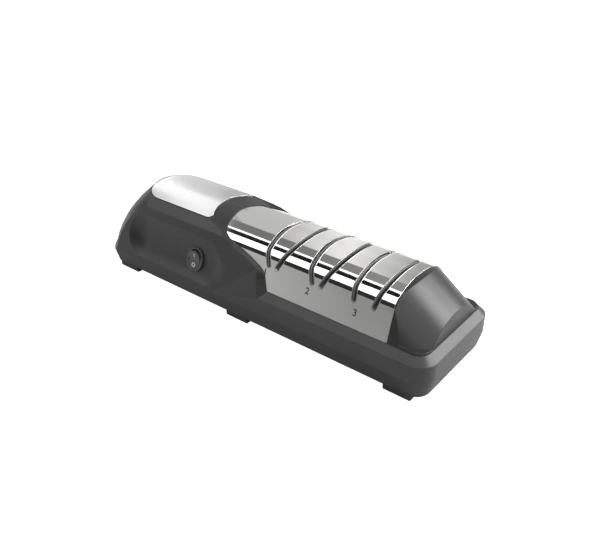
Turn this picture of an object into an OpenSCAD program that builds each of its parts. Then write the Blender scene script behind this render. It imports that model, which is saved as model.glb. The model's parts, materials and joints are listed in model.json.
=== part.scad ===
// Electric three-stage knife sharpener
// X runs along the length (nose at -X), Y across it (front at -Y), Z up from the surface it stands on

/* [Body] */
// Overall length, nose to right end
body_len = 322; // [316:1:336]
// Overall width at the lower crease
body_w = 92; // [88:1:96]
// Wall of the dark mouldings
wall = 2.4; // [2:0.1:2.8]
// Height of the skirt's bottom edge
skirt_z = 5.3; // [4.5:0.1:6.5]
// Height of the lower crease, where housing and tray part
crease_z = 17.7; // [16.5:0.1:19]
// Height of the upper crease of the rim
rim_z = 30.6; // [29.6:0.1:31.2]
// Height of the shoulder's top
shoulder_z = 36; // [35.4:0.1:37]
// How far the shoulder slopes in
shoulder_in = 6; // [5:0.1:6.4]
// How far the skirt draws in at its bottom
skirt_in = 3; // [2:0.1:4]
// Radius of the right-hand corners in plan
corner_r = 14; // [12:0.5:16]

/* [Motor end] */
// Half width of the housing at its upper crease
crease_half = 33; // [32:0.1:34]
// Height of the housing's upper crease
crown_crease_z = 61; // [60:0.1:62]
// Half width of the crown at the plate's edge
plate_half = 26.2; // [25.5:0.1:27]
// Height of the plate's edge
plate_edge_z = 67.4; // [67:0.1:68]
// Height of the crown's top
crown_z = 71.6; // [71:0.1:73]
// Plan radius of the nose at the lower crease
nose_r = 58; // [56:0.5:62]
// Radius that curls the nose over in side view
nose_curl_r = 50; // [48:0.5:56]
// How far the arch leans back from its foot to the plate
arch_run = 71.5; // [69:0.5:74]

/* [Recess and switch] */
// End radius of the sunk recess
recess_r = 18; // [16:0.5:19]
// Depth of the recess
recess_depth = 5; // [4:0.1:5.5]
// Distance between the centres of the recess ends
recess_span = 71; // [66:1:74]
// Width of the oval switch bezel
bezel_w = 16.5; // [15.5:0.1:18]
// Angle the rocker tips through
rocker_travel = 18; // [12:1:18]

/* [Stages] */
// Distance between neighbouring stages
stage_pitch = 38.8; // [38:0.1:39.6]
// Width of a knife slot
slot_w = 3.9; // [3.5:0.1:4]
// Height of the slots' lower ends
slot_z = 50.8; // [50:0.1:52]
// Tilt of the slots of stages 1 and 2
slot_tilt = 23; // [20:0.5:24]
// Tilt of the slots of stage 3
fine_tilt = 10; // [8:0.5:12]
// Distance between the lower ends of a pair, stages 1 and 2
pair_gap = 6.2; // [5.8:0.1:7]
// Distance between the lower ends of the pair of stage 3
fine_gap = 15.3; // [15:0.1:16]

/* [Drive] */
// Height of the spindle's axis
axis_z = 36; // [35.5:0.1:36.5]
// Radius of the grinding discs
disc_r = 20; // [19:0.1:20.5]
// Radius of the spindle
spindle_r = 4; // [3.5:0.1:4.2]
// How far each disc slides inward
disc_travel = 0.8; // [0.4:0.1:0.8]
// Radius of the motor can
can_r = 23; // [21:0.5:23.5]
// Length of the motor can
can_len = 50; // [46:1:52]

/* [Hidden] */
$fn = 48;
over = 1;                       // overrun of every cut
slim = 0.1;                     // gap between fixed neighbours
run = 0.05;                     // running clearance on a radius
x_right = body_len / 2;
x_nose = -body_len / 2;
half_w = body_w / 2;

// rim and tray
foot_drop = 3.8;                // foot block below the skirt
pad_t = 1.5;
foot_len = 21;
foot_wide = 14;
foot_shares = [0.078, 0.462, 0.901];
floor_z = skirt_z + wall;
ledge_sink = 2;
ledge_t = 2.4;
ledge_z = shoulder_z - ledge_sink; // the cover and the cap stand on this
rim_floor_z = ledge_z - ledge_t; // underside of the rim's ledge
ledge_in = 9.5;                 // inner edge of the ledge, from the rim's face

// motor end
lean_share = (half_w - crease_half) / (crown_crease_z - crease_z);
lean = atan(lean_share);
nose_lean_share = 0.22;
nose_cx = x_nose + nose_r;
crown_rise = crown_z - plate_edge_z;
crown_r = (plate_half * plate_half + crown_rise * crown_rise) / (2 * crown_rise);
crown_cz = crown_z - crown_r;
slope_run = crease_half - plate_half;
slope_rise = plate_edge_z - crown_crease_z;

// stages
end_to_fine = 56.4;             // right end of the rim to stage 3
fine_x = x_right - end_to_fine;
stages = [fine_x - 2 * stage_pitch, fine_x - stage_pitch, fine_x];
function tilt_of(i) = i < 2 ? slot_tilt : fine_tilt;
function gap_of(i) = i < 2 ? pair_gap : fine_gap;

// cover
cover_t = 1.5;
cover_slope_share = 0.436;
cover_bend_z = 57.8;
cover_crown_r = 60;
cover_bend_r = 9.3;
cover_half = half_w - shoulder_in;
cover_tilt = atan(cover_slope_share);
end_to_joint = 33;
cover_end_x = x_right - end_to_joint; // foot of the joint between cover and cap
cover_end_lean = 2.2;
joint_gap = 0.4;
end_to_cap = 6;
cap_x = x_right - end_to_cap;
cap_r = 8;
tuck = 5;                       // cover under the arch's lip
lip = 0.5;

// arch: shares of its run (from the foot) and of its rise, outer edge and inner edge
arch_to_stage = 4.5;
foot_x = stages[0] - arch_to_stage;
arch_out_shares = [[0, 0], [0.084, 0.283], [0.115, 0.427], [0.264, 0.539], [0.413, 0.624],
    [0.582, 0.763], [0.748, 0.834], [0.89, 0.8976], [0.935, 0.971], [0.98, 1]];
arch_in_shares = [[-0.0615, 0], [-0.014, 0.182], [0.038, 0.362], [0.207, 0.517], [0.372, 0.626],
    [0.509, 0.693], [0.632, 0.793], [0.6825, 0.866], [0.7245, 0.954], [0.7566, 1]];
arch_steps = 3;

// Helpers

// a YZ outline carried along X, and an XZ outline carried along Y
module prism_x(x0, x1) { translate([x0, 0, 0]) rotate([90, 0, 90]) linear_extrude(x1 - x0) children(); }
module prism_y(y0, y1) { translate([0, y1, 0]) rotate([90, 0, 0]) linear_extrude(y1 - y0) children(); }

// a round bar and a turned outline (radius, distance) about the spindle's axis
module bar_x(x0, x1, r) { translate([x0, 0, axis_z]) rotate([0, 90, 0]) cylinder(h = x1 - x0, r = r); }
module turned(x, dir = 1) { translate([x, 0, axis_z]) rotate([0, dir * 90, 0]) rotate_extrude($fn = 72)
    children(); }
module ring_outline(r0, r1, h0, h1) { polygon([[r0, h0], [r1, h0], [r1, h1], [r0, h1]]); }

// both sides of the middle plane
module both_sides() { children(); mirror([0, 1, 0]) children(); }

// the leaning front face: x along the body, v up the face, -Y outward
module on_front(x, v) {
    translate([x, -half_w, crease_z]) rotate([-lean, 0, 0]) translate([0, 0, v]) children();
}

// corner b of the path a-b-c moved in by d (the path runs clockwise round the solid)
function side_normal(a, b) = let (e = (b - a) / norm(b - a)) [-e[1], e[0]];
function moved_in(a, b, c, d) =
    let (n = side_normal(a, b), m = side_normal(b, c)) b - d * (n + m) / (1 + n * m);

// points of a smooth curve through the rows of a table
function spline_at(p, i, t) =
    let (n = len(p) - 1, a = p[max(i - 1, 0)], b = p[i], c = p[i + 1], e = p[min(i + 2, n)])
    0.5 * (2 * b + (c - a) * t + (2 * a - 5 * b + 4 * c - e) * t * t + (3 * b - a - 3 * c + e) * t * t * t);
function smooth(p, n) = [for (i = [0:len(p) - 2], k = [0:n - 1]) spline_at(p, i, k / n), p[len(p) - 1]];

// Outlines

// half width of the motor end at height z
function house_half(z) =
    z < crown_crease_z ? half_w - lean_share * (z - crease_z)
    : z < plate_edge_z ? crease_half - slope_run * (z - crown_crease_z) / slope_rise
    : sqrt(max(0, crown_r * crown_r - (z - crown_cz) * (z - crown_cz)));

// cross-section of the motor end, moved in by d
module house_section(d, z0 = crease_z) {
    base = [house_half(z0), z0];
    knee = [crease_half, crown_crease_z];
    top = knee + [-slope_run, slope_rise] * (crown_z + over - crown_crease_z) / slope_rise;
    k = moved_in(top, knee, base, d);
    b = base - [d / cos(lean), 0];
    t = k + (top - knee);
    intersection() {
        polygon([t, k, b, [-b[0], b[1]], [-k[0], k[1]], [-t[0], t[1]]]);
        translate([0, crown_cz]) circle(r = crown_r - d, $fn = 240);
    }
}

// the cover's section: leaning sides, a bend and a crown, moved in by d
bend_cy = cover_half - cover_slope_share * (cover_bend_z - shoulder_z) - cover_bend_r * cos(cover_tilt);
bend_cz = cover_bend_z - cover_bend_r * sin(cover_tilt);
cover_crown_cz = bend_cz - sqrt(pow(cover_crown_r - cover_bend_r, 2) - bend_cy * bend_cy);
cover_peak_z = cover_crown_cz + cover_crown_r;
function cover_half_at(z, d = 0) =
    let (side = cover_half - d / cos(cover_tilt) - cover_slope_share * (z - shoulder_z),
        br = cover_bend_r - d, cr = cover_crown_r - d,
        z1 = bend_cz + br * sin(cover_tilt),
        z2 = bend_cz + br * (bend_cz - cover_crown_cz) / (cover_crown_r - cover_bend_r))
    z < z1 ? side
    : z < z2 ? bend_cy + sqrt(max(0, br * br - (z - bend_cz) * (z - bend_cz)))
    : sqrt(max(0, cr * cr - (z - cover_crown_cz) * (z - cover_crown_cz)));

module cover_section(d, z0 = ledge_z) {
    f = cover_half - d / cos(cover_tilt);
    c = [bend_cy, bend_cz];
    n1 = [cos(cover_tilt), sin(cover_tilt)];
    n2 = (c - [0, cover_crown_cz]) / norm(c - [0, cover_crown_cz]);
    t1 = c + n1 * (cover_bend_r - d);
    t2 = c + n2 * (cover_bend_r - d);
    far = cover_bend_r;
    zt = cover_peak_z + over;
    top = t1[0] - cover_slope_share * (zt - t1[1]);
    difference() {
        intersection() {
            polygon([[f, z0], [f, shoulder_z], [top, zt], [-top, zt], [-f, shoulder_z], [-f, z0]]);
            translate([0, cover_crown_cz]) circle(r = cover_crown_r - d, $fn = 240);
        }
        for (m = [0, 1]) mirror([m, 0]) difference() {
            polygon([c, t1, t1 + n1 * far, t2 + n2 * far, t2]);
            translate(c) circle(r = cover_bend_r - d, $fn = 96);
        }
    }
}

// The low form: rim, shoulder and skirt

// rounded low form; rows of [inset, z], bottom first
module low_form(rows, x0, foot = 0) {
    n = len(rows) - 1;
    prof = [for (i = [0:n]) [rows[i][0], rows[i][1]]];
    difference() {
        intersection() {
            prism_x(x0, x_right + over) polygon(concat(
                [for (i = [0:n]) [half_w - prof[i][0], prof[i][1]]],
                [for (i = [n:-1:0]) [prof[i][0] - half_w, prof[i][1]]]));
            prism_y(-half_w - over, half_w + over) polygon(concat(
                [for (i = [0:n]) [x_right - prof[i][0], prof[i][1]]],
                [[x0 + foot, prof[n][1]]],
                n > 1 ? [[x0, prof[n - 1][1]]] : [],
                [[x0, prof[0][1]]]));
        }
        both_sides() difference() {
            translate([x_right - corner_r, half_w - corner_r, prof[0][1] - over])
                cube([corner_r + 2 * over, corner_r + 2 * over, prof[n][1] - prof[0][1] + 2 * over]);
            translate([x_right - corner_r, half_w - corner_r, 0]) rotate_extrude($fn = 96)
                polygon(concat([[0, prof[0][1] - 2 * over]],
                    [[corner_r - prof[0][0], prof[0][1] - 2 * over]],
                    [for (i = [0:n]) [corner_r - prof[i][0], prof[i][1]]],
                    [[corner_r - prof[n][0], prof[n][1] + 2 * over], [0, prof[n][1] + 2 * over]]));
        }
    }
}

// a flat-sided opening with rounded right-hand corners
module opening(half, x0, x1, r, z0, z1) {
    translate([0, 0, z0]) linear_extrude(z1 - z0) difference() {
        translate([x0, -half]) square([x1 - x0, 2 * half]);
        for (m = [0, 1]) mirror([0, m]) difference() {
            translate([x1 - r, half - r]) square([r + over, r + over]);
            translate([x1 - r, half - r]) circle(r = r, $fn = 72);
        }
    }
}

// The nose: its middle outline turned about an axis that leans back

nose_rows = 14;
nose_axis_lean = 19;
nose_join = 8;
nose_join_x = nose_cx + nose_join;
function nose_point(u, d) =
    let (k = nose_lean_share + u / nose_curl_r)
    [x_nose + nose_lean_share * u + u * u / (2 * nose_curl_r), crease_z + u] + d * [1, -k] / norm([1, k]);
function nose_outline(u, d) =
    let (p = nose_point(u, d) - [nose_cx, crease_z])
    [-p[0] * cos(nose_axis_lean) + p[1] * sin(nose_axis_lean),
        p[0] * sin(nose_axis_lean) + p[1] * cos(nose_axis_lean)];
module nose_solid(d) {
    u0 = -crease_z;
    u1 = crown_z - crease_z + 4 * over;
    rows = [for (i = [0:nose_rows]) nose_outline(i == 0 ? u0 : u1 * (i - 1) / (nose_rows - 1), d)];
    translate([nose_cx, 0, crease_z]) rotate([0, nose_axis_lean, 0]) rotate_extrude($fn = 180)
        polygon(concat([[0, rows[0][1]]], rows, [[0, rows[nose_rows][1]]]));
}
// what the nose takes off a block that reaches past it
module nose_off(d) {
    difference() {
        translate([x_nose - body_w, -body_w, 0])
            cube([nose_join_x - x_nose + body_w, 2 * body_w, 2 * crown_z]);
        nose_solid(d);
    }
}

// a solid through rings of as many points each
module loft(rings) {
    m = len(rings[0]);
    n = len(rings);
    polyhedron(
        points = [for (r = rings) each r],
        faces = concat(
            [[for (k = [0:m - 1]) k]],
            [[for (k = [m - 1:-1:0]) (n - 1) * m + k]],
            [for (i = [0:n - 2], k = [0:m - 1]) let (a = i * m + k, b = i * m + (k + 1) % m)
                each [[a, a + m, b], [b, a + m, b + m]]]));
}
// Arch

arch_rise_out = crown_z - rim_z;
arch_rise_in = cover_peak_z + lip - shoulder_z;
cheek_top = [foot_x - arch_out_shares[2][0] * arch_run, rim_z + arch_out_shares[2][1] * arch_rise_out];
cheek_run = 47;
function cheek_half(z) =
    let (t = (z - rim_z) / (cheek_top[1] - rim_z))
        t < 1 ? half_w + (house_half(cheek_top[1]) - half_w) * t : 0;
arch_out = [for (s = smooth(arch_out_shares, arch_steps))
    let (z = min(crown_z, rim_z + s[1] * arch_rise_out))
    [foot_x - s[0] * arch_run, -max(house_half(z), cheek_half(z)), z]];
arch_in = [for (s = smooth(arch_in_shares, arch_steps))
    let (z = min(cover_peak_z + lip, shoulder_z + s[1] * arch_rise_in))
        [foot_x - s[0] * arch_run, -cover_half_at(z, -lip), z]];

// the sloping band between the housing's face and the cover, taken off as one curved cut
module arch_band() {
    far = foot_x + arch_run / 2;
    step_out = 2 * wall;
    n = len(arch_out) - 1;
    front = [for (k = [0:n])
        let (a = arch_out[k], b = arch_in[k], e = (b - a) / norm(b - a), p = a - e * step_out,
            q = b + e * over)
        [[far, p[1], p[2]], [far, q[1], q[2]], q, p]];
    back = [for (k = [n - 1:-1:0]) [for (p = front[k]) [p[0], -p[1], p[2]]]];
    loft(concat(front, back));
}

// side view of the motor end: everything left of the arch's inner edge
module arch_side(shift = 0, x0 = x_nose - over, z0 = crease_z) {
    polygon(concat([[x0, crown_z + over], [x0, z0], [foot_x - shift, z0], [foot_x - shift, rim_z]],
        [for (p = arch_in) [p[0] - shift, p[2]]],
        [[arch_in[len(arch_in) - 1][0] - shift, crown_z + over]]));
}

// what stays solid behind the arch: a ring that fills the way from the face to the tucked cover
module arch_ring() {
    back = tuck + slim + wall;
    difference() {
        prism_y(-half_w - over, half_w + over) polygon(concat(
            [[far_x + over, crown_z + over], [far_x + over, rim_floor_z],
                [arch_in[0][0] - back, rim_floor_z]],
            [for (p = arch_in) [p[0] - back, p[2]]],
            [[arch_in[len(arch_in) - 1][0] - back, crown_z + over]]));
        prism_x(x_nose, far_x + 2 * over) cover_section(cover_t, rim_floor_z - over);
    }
}

// the cheek: a flat that turns the leaning face into the rim's upright wall
module cheek() {
    yt = -house_half(cheek_top[1]);
    xl = foot_x - cheek_run;
    xr = foot_x + arch_run / 8;
    polyhedron(
        points = [[xl, -half_w, crease_z], [foot_x, -half_w, rim_z], [cheek_top[0], yt, cheek_top[1]],
            [xr, -half_w, crease_z], [xr, -half_w, rim_z], [xr, yt, cheek_top[1]],
            [xl, wall - half_w, crease_z], [cheek_top[0], yt + wall, cheek_top[1]],
            [xr, yt + wall, cheek_top[1]], [xr, wall - half_w, crease_z]],
        faces = [[0, 2, 1], [0, 1, 4, 3], [1, 2, 5, 4], [0, 3, 9, 6], [0, 6, 7, 2], [2, 7, 8, 5],
            [6, 9, 8, 7],
            [3, 4, 5, 8, 9]]);
}

// Motor end

far_x = foot_x + arch_run / 2;
module house_room() {
    difference() {
        prism_x(x_nose, far_x) house_section(wall, crease_z - over);
        nose_off(wall);
    }
}

// the sunk recess: a round-ended dish in the front face
recess_c = (recess_r * recess_r + recess_depth * recess_depth) / (2 * recess_depth);
recess_axis = recess_c - recess_depth;
recess_z = 37.5;
recess_v = (recess_z - crease_z) / cos(lean);
recess_to_arch = 56;
recess_x = foot_x - recess_to_arch; // centre of the right-hand end
module recess_dish(r) {
    on_front(recess_x, recess_v) translate([0, -recess_axis, 0]) {
        translate([-recess_span, 0, 0]) rotate([0, 90, 0]) cylinder(h = recess_span, r = r, $fn = 180);
        for (x = [-recess_span, 0]) translate([x, 0, 0]) sphere(r = r, $fn = 180);
    }
}

// top plate: rounded at the nose, hollowed at the arch
plate_t = 1.2;
plate_proud = 0.3;
plate_gap = 0.5;
plate_to_nose = 43.4;
plate_x0 = x_nose + plate_to_nose;
plate_nose_r = 17.3;
plate_cut_r = 38.5;
plate_to_arch = 69.8;
plate_cut_x = foot_x - plate_to_arch; // right end of the plate on the middle line
plate_tip_r = 4;
function arc(c, r, a0, a1, n) = [for (k = [0:n]) let (a = a0 + (a1 - a0) * k / n)
    c + r * [cos(a), sin(a)]];
module plate_zone(g) {
    w = plate_half - g;
    cut = plate_cut_r + g;
    c = [plate_cut_x + plate_cut_r, 0];
    tip = plate_tip_r - g;
    t = [c[0] - sqrt(pow(cut + tip, 2) - (w - tip) * (w - tip)), w - tip];
    nr = plate_nose_r - g;
    a = atan2(w - tip, c[0] - t[0]);
    side = concat(arc(c, cut, 180, 180 - a, 16), arc(t, tip, -a, 90, 8),
        arc([plate_x0 + plate_nose_r, w - nr], nr, 90, 180, 16));
    n = len(side) - 1;
    translate([0, 0, crown_crease_z]) linear_extrude(crown_z)
        polygon(concat([for (k = [1:n]) side[k]], [for (k = [n:-1:0]) [side[k][0], -side[k][1]]]));
}
module plate_skin(d0, d1, g) {
    difference() {
        intersection() {
            prism_x(plate_x0 - over, foot_x) house_section(d0);
            plate_zone(g);
        }
        prism_x(plate_x0 - 2 * over, foot_x + over) house_section(d1, crease_z - over);
    }
}

// switch: stands on the recess floor
switch_to_arch = 71.7;
switch_x = foot_x - switch_to_arch;
switch_drop = 4.4;
bezel_stretch = 2.5;
bezel_h = bezel_w + bezel_stretch;
bezel_proud = 1.8;
switch_body = [13.8, 18];
switch_depth = 17;
well = [12.2, 16.2];
well_depth = 4.8;
rocker_size = [11.4, 15.2];
rocker_tip = [7.2, 3.4];
rocker_low = [2.5, 2.6];
rocker_dip = 2.2;
pin_r = 1;
pin_reach = 6.6;
pivot_y = 0.4;                  // behind the recess floor
module stadium(w, h) {
    square([w, h - w], center = true);
    for (m = [-1, 1]) translate([0, m * (h - w) / 2]) circle(r = w / 2, $fn = 72);
}
module on_switch() {
    on_front(switch_x, recess_v) translate([0, -recess_axis, 0]) rotate([-switch_drop, 0, 0])
        translate([0, recess_c, 0]) children();
}
module inward(y0, y1) { translate([0, y1, 0]) rotate([90, 0, 0]) linear_extrude(y1 - y0) children(); }

// cord inlet on the back face
inlet_to_nose = 56;
inlet_x = x_nose + inlet_to_nose;
inlet_z = 34.5;
inlet_r = 3.6;
grommet_neck_r = 5;
grommet_flange = [7.5, 2.5];
grommet_lip = [5.9, 1.4];
grommet_len = 10;
module on_back_face(x, v) { mirror([0, 1, 0]) on_front(x, v) rotate([90, 0, 0]) children(); }

// screw columns that join tray and housing
column_off = [39, 28.5, 6.4, 20];
column_x = [x_nose + column_off[0], foot_x - column_off[1], stages[1] + column_off[2],
    x_right - column_off[3]];
column_in = 8;
column_y = half_w - column_in;
column_r = 4.2;
column_rise = 10.3;
column_top = crease_z + column_rise;
screw_r = 1.5;
screw_head = [3.1, 2.2];
seat_rise = 1.3;
screw_seat_z = floor_z + seat_rise;
screw_reach = 8;
module at_columns() { for (x = column_x, m = [-1, 1]) translate([x, m * column_y, 0]) children(); }

// outer form of the motor end, with its cheeks, arch and nose
module motor_end() {
    difference() {
        intersection() {
            union() {
                prism_x(x_nose - over, far_x) house_section(0);
                both_sides() cheek();
            }
            prism_y(-half_w - over, half_w + over) arch_side();
        }
        arch_band();
        nose_off(0);
    }
}

module upper_housing() {
    color("#3a3c3f") difference() {
        union() {
            difference() {
                motor_end();
                difference() {
                    house_room();
                    recess_dish(recess_c + wall);
                    arch_ring();
                }
            }
            difference() {
                low_form([[0, crease_z], [0, rim_z], [shoulder_in, shoulder_z]], foot_x,
                    arch_in[0][0] - foot_x);
                opening(half_w - wall, foot_x - over, x_right - wall, corner_r - wall, crease_z - over,
                    rim_floor_z);
                opening(half_w - ledge_in, foot_x - over, x_right - ledge_in, corner_r - ledge_in,
                    rim_floor_z - over,
                    ledge_z + over);
                opening(cover_half + slim, foot_x - over, cap_x + slim, cap_r + slim, ledge_z,
                    shoulder_z + over);
            }
            for (x = column_x, m = [-1, 1]) translate([x, m * column_y, crease_z])
                cylinder(h = (x < foot_x ? column_top : rim_floor_z + over / 2) - crease_z, r = column_r);
        }
        recess_dish(recess_c);
        intersection() {
            prism_x(arch_in[len(arch_in) - 1][0] - 2 * tuck, far_x) cover_section(-slim);
            prism_y(-half_w - over, half_w + over) cover_side(slim);
        }
        plate_skin(-over, plate_t, 0);
        on_switch() {
            inward(-bezel_proud - over, 0) stadium(bezel_w + 2 * slim, bezel_h + 2 * slim);
            inward(-over, switch_depth) stadium(switch_body[0] + 2 * slim, switch_body[1] + 2 * slim);
        }
        on_back_face(inlet_x, (inlet_z - crease_z) / cos(lean))
            translate([0, 0, -2 * wall]) cylinder(h = 4 * wall, r = grommet_neck_r + slim);
        at_columns() translate([0, 0, crease_z - over])
            cylinder(h = screw_reach + over, r = screw_r + run);
    }
}

// Tray

lip_t = 1.6;
lip_up = 1.5;
lip_len = 20;
lip_inset = wall / cos(lean) + lean_share * lip_up + 2 * slim; // clears the leaning wall above
lip_off = [62, 62, 20, 14];
lip_x = [x_nose + lip_off[0], foot_x - lip_off[1], stages[0] + lip_off[2], stages[2] - lip_off[3]];
cradle_t = 3;
cradle_half = 20;
cradle_drop = 11;
vent = [3, 34];
vent_count = 6;
vent_pitch = 6;
motor_to_nose = 34;
motor_x0 = x_nose + motor_to_nose;
motor_x1 = motor_x0 + can_len;
motor_mid = (motor_x0 + motor_x1) / 2;
function foot_at(i) = x_nose + foot_shares[i] * body_len;
module tray_form(d, z0, z1) {
    at = function (z) d + skirt_in * (crease_z - z) / (crease_z - skirt_z);
    intersection() {
        low_form([[at(z0), z0], [at(z1), z1]], x_nose - over);
        union() {
            translate([nose_cx, 0, 0]) rotate_extrude($fn = 180)
                polygon([[0, z0 - over], [nose_r - at(z0), z0 - over], [nose_r - at(z0), z0],
                    [nose_r - at(z1), z1],
                    [nose_r - at(z1), z1 + over], [0, z1 + over]]);
            translate([nose_cx, -body_w, z0 - over]) cube([body_len, 2 * body_w, z1 - z0 + 2 * over]);
        }
    }
}
module base_tray() {
    color("#333537") difference() {
        union() {
            difference() {
                tray_form(0, skirt_z, crease_z);
                tray_form(wall, floor_z, crease_z + over);
            }
            for (i = [0:2], m = [-1, 1]) translate([foot_at(i),
                m > 0 ? half_w - skirt_in - foot_wide : skirt_in - half_w, skirt_z - foot_drop])
                    cube([foot_len, foot_wide, foot_drop + wall / 2]);
            both_sides() for (x = lip_x)
                translate([x, half_w - lip_inset - lip_t, crease_z - 4 * lip_up])
                    cube([lip_len, lip_t, 5 * lip_up]);
            at_columns() translate([0, 0, skirt_z]) cylinder(h = crease_z - slim - skirt_z, r = column_r);
            for (x = [motor_x0 + 2 * cradle_t, motor_x1 - 3 * cradle_t]) difference() {
                prism_x(x, x + cradle_t) polygon([[-cradle_half - cradle_t, floor_z - wall / 2],
                    [cradle_half + cradle_t,
                    floor_z - wall / 2], [cradle_half, axis_z - cradle_drop],
                        [-cradle_half, axis_z - cradle_drop]]);
                bar_x(x - over, x + cradle_t + over, can_r + slim);
            }
            strap_posts();
            board_posts();
            magnet_ribs();
        }
        at_columns() {
            translate([0, 0, skirt_z - over]) cylinder(h = screw_seat_z - skirt_z + over,
                r = screw_head[0] + slim);
            translate([0, 0, skirt_z]) cylinder(h = crease_z, r = screw_r + slim);
        }
        for (k = [0:vent_count - 1])
            translate([motor_mid + (k - (vent_count - 1) / 2) * vent_pitch - vent[0] / 2, -vent[1] / 2,
                skirt_z - over])
                cube([vent[0], vent[1], wall + 2 * over]);
        strap_holes();
        bearing_holes();
    }
}
module foot_pads() {
    color("#1d1d1f") for (i = [0:2], m = [-1, 1])
        translate([foot_at(i) + pad_t, m > 0 ? half_w - skirt_in - foot_wide + pad_t : skirt_in - half_w + pad_t, 0])
            cube([foot_len - 2 * pad_t, foot_wide - 2 * pad_t, skirt_z - foot_drop]);
}
module base_screws() {
    color("#8c8f93") at_columns() difference() {
        union() {
            translate([0, 0, screw_seat_z - screw_head[1]])
                cylinder(h = screw_head[1], r = screw_head[0]);
            translate([0, 0, screw_seat_z - over / 2])
                cylinder(h = crease_z + screw_reach - over - screw_seat_z, r = screw_r);
        }
        for (a = [0, 90]) rotate([0, 0, a]) translate([-screw_r, -screw_r / 4,
            screw_seat_z - screw_head[1] - over])
            cube([2 * screw_r, screw_r / 2, over + screw_head[1] / 2]);
    }
}

// Top plate, cover and cap

module top_plate() {
    color("#d9dadc") plate_skin(-plate_proud, plate_t - slim, plate_gap);
}

// side view of the cover: tucked under the arch at the left, leaning joint at the right; grown by g
module cover_side(g = 0) {
    polygon(concat([[arch_in[0][0] - tuck - g, ledge_z]],
        [for (p = arch_in) [p[0] - tuck - g, p[2]]],
        [[arch_in[len(arch_in) - 1][0] - tuck - g, crown_z + over],
        [cover_end_x - cover_end_lean * (crown_z + over - shoulder_z) / (cover_peak_z - shoulder_z) + g,
            crown_z + over],
        [cover_end_x + g, ledge_z]]));
}

// one knife slot of stage i, on side s, as a round-ended cut across the width
module slot(i, s, w, half) {
    prism_y(-half, half) translate([stages[i] + s * gap_of(i) / 2, slot_z]) rotate(-s * tilt_of(i)) {
        translate([0, w / 2]) circle(r = w / 2);
        translate([-w / 2, w / 2]) square([w, crown_z - slot_z + cover_bend_r]);
    }
}
module stage_cover() {
    color("#c9c9c7") difference() {
        intersection() {
            prism_x(x_nose, x_right) cover_section(0);
            prism_y(-half_w, half_w) cover_side();
        }
        prism_x(x_nose - over, x_right + over) cover_section(cover_t, ledge_z - over);
        for (i = [0:2], s = [-1, 1]) slot(i, s, slot_w, half_w);
    }
}

// cap: the cover's section closed by a leaning rounded facet and an upright end
facet_r = 46;
facet_tilt = 36.3;
facet_back = 24.2;
facet_x = cap_x - facet_back;
module cap_side(g, x1) {
    x0 = cover_end_x + joint_gap + g;
    polygon([[x0, ledge_z - over], [x0 - cover_end_lean * (crown_z - ledge_z) / (cover_peak_z - shoulder_z), crown_z],
        [x1, crown_z], [x1, ledge_z - over]]);
}
module facet(d) {
    translate([facet_x, 0, cover_peak_z]) rotate([0, facet_tilt, 0]) translate([0, 0, -facet_r])
        rotate([0, 90, 0]) cylinder(h = 4 * facet_r, r = facet_r - d, center = true, $fn = 240);
}
module cap_body(d, z0) {
    r = cap_r - d;
    yc = cover_half - cap_r / cos(cover_tilt);
    difference() {
        intersection() {
            prism_x(x_nose, x_right) cover_section(d, z0);
            prism_y(-half_w, half_w) cap_side(d > 0 ? -joint_gap - over : 0, cap_x - d);
        }
        both_sides() {
            difference() {
                translate([cap_x - cap_r, yc, shoulder_z]) rotate([cover_tilt, 0, 0])
                    translate([0, 0, -crown_z]) cube([cap_r + over, cap_r + over, 2 * crown_z]);
                translate([cap_x - cap_r, yc, shoulder_z]) rotate([cover_tilt, 0, 0])
                    cylinder(h = 3 * crown_z, r = r, center = true, $fn = 96);
            }
            translate([cap_x - cap_r, cover_half - cap_r, z0 - over]) difference() {
                cube([cap_r + over, cap_r + over, shoulder_z - z0 + over]);
                translate([0, 0, -over]) cylinder(h = shoulder_z, r = r, $fn = 96);
            }
        }
    }
}
cap_foot = 1.2;                 // upright foot left below the facet
module end_cap() {
    color("#2f3133") difference() {
        intersection() {
            cap_body(0, ledge_z);
            union() {
                facet(0);
                translate([cover_end_x - half_w, -half_w, ledge_z - over])
                    cube([body_w, body_w, shoulder_z - ledge_z + over + cap_foot]);
            }
        }
        intersection() {
            cap_body(wall, ledge_z - over);
            facet(wall);
        }
    }
}

// Guides

guide_half = 15;
guide_z = 44;
guide_slot = 2.4;
pocket_gap = 1.5;
module guide(i) {
    color("#26272a") difference() {
        intersection() {
            prism_x(stages[i] - guide_half, stages[i] + guide_half) cover_section(cover_t + slim);
            translate([stages[i] - body_w, -body_w, guide_z]) cube([2 * body_w, 2 * body_w, crown_z]);
        }
        for (s = [-1, 1]) slot(i, s, guide_slot, half_w);
        bar_x(stages[i] - disc_room(i), stages[i] + disc_room(i), disc_r + pocket_gap);
    }
}
module guide_1() { guide(0); }
module guide_2() { guide(1); }
module guide_3() { guide(2); }

// Switch

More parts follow.
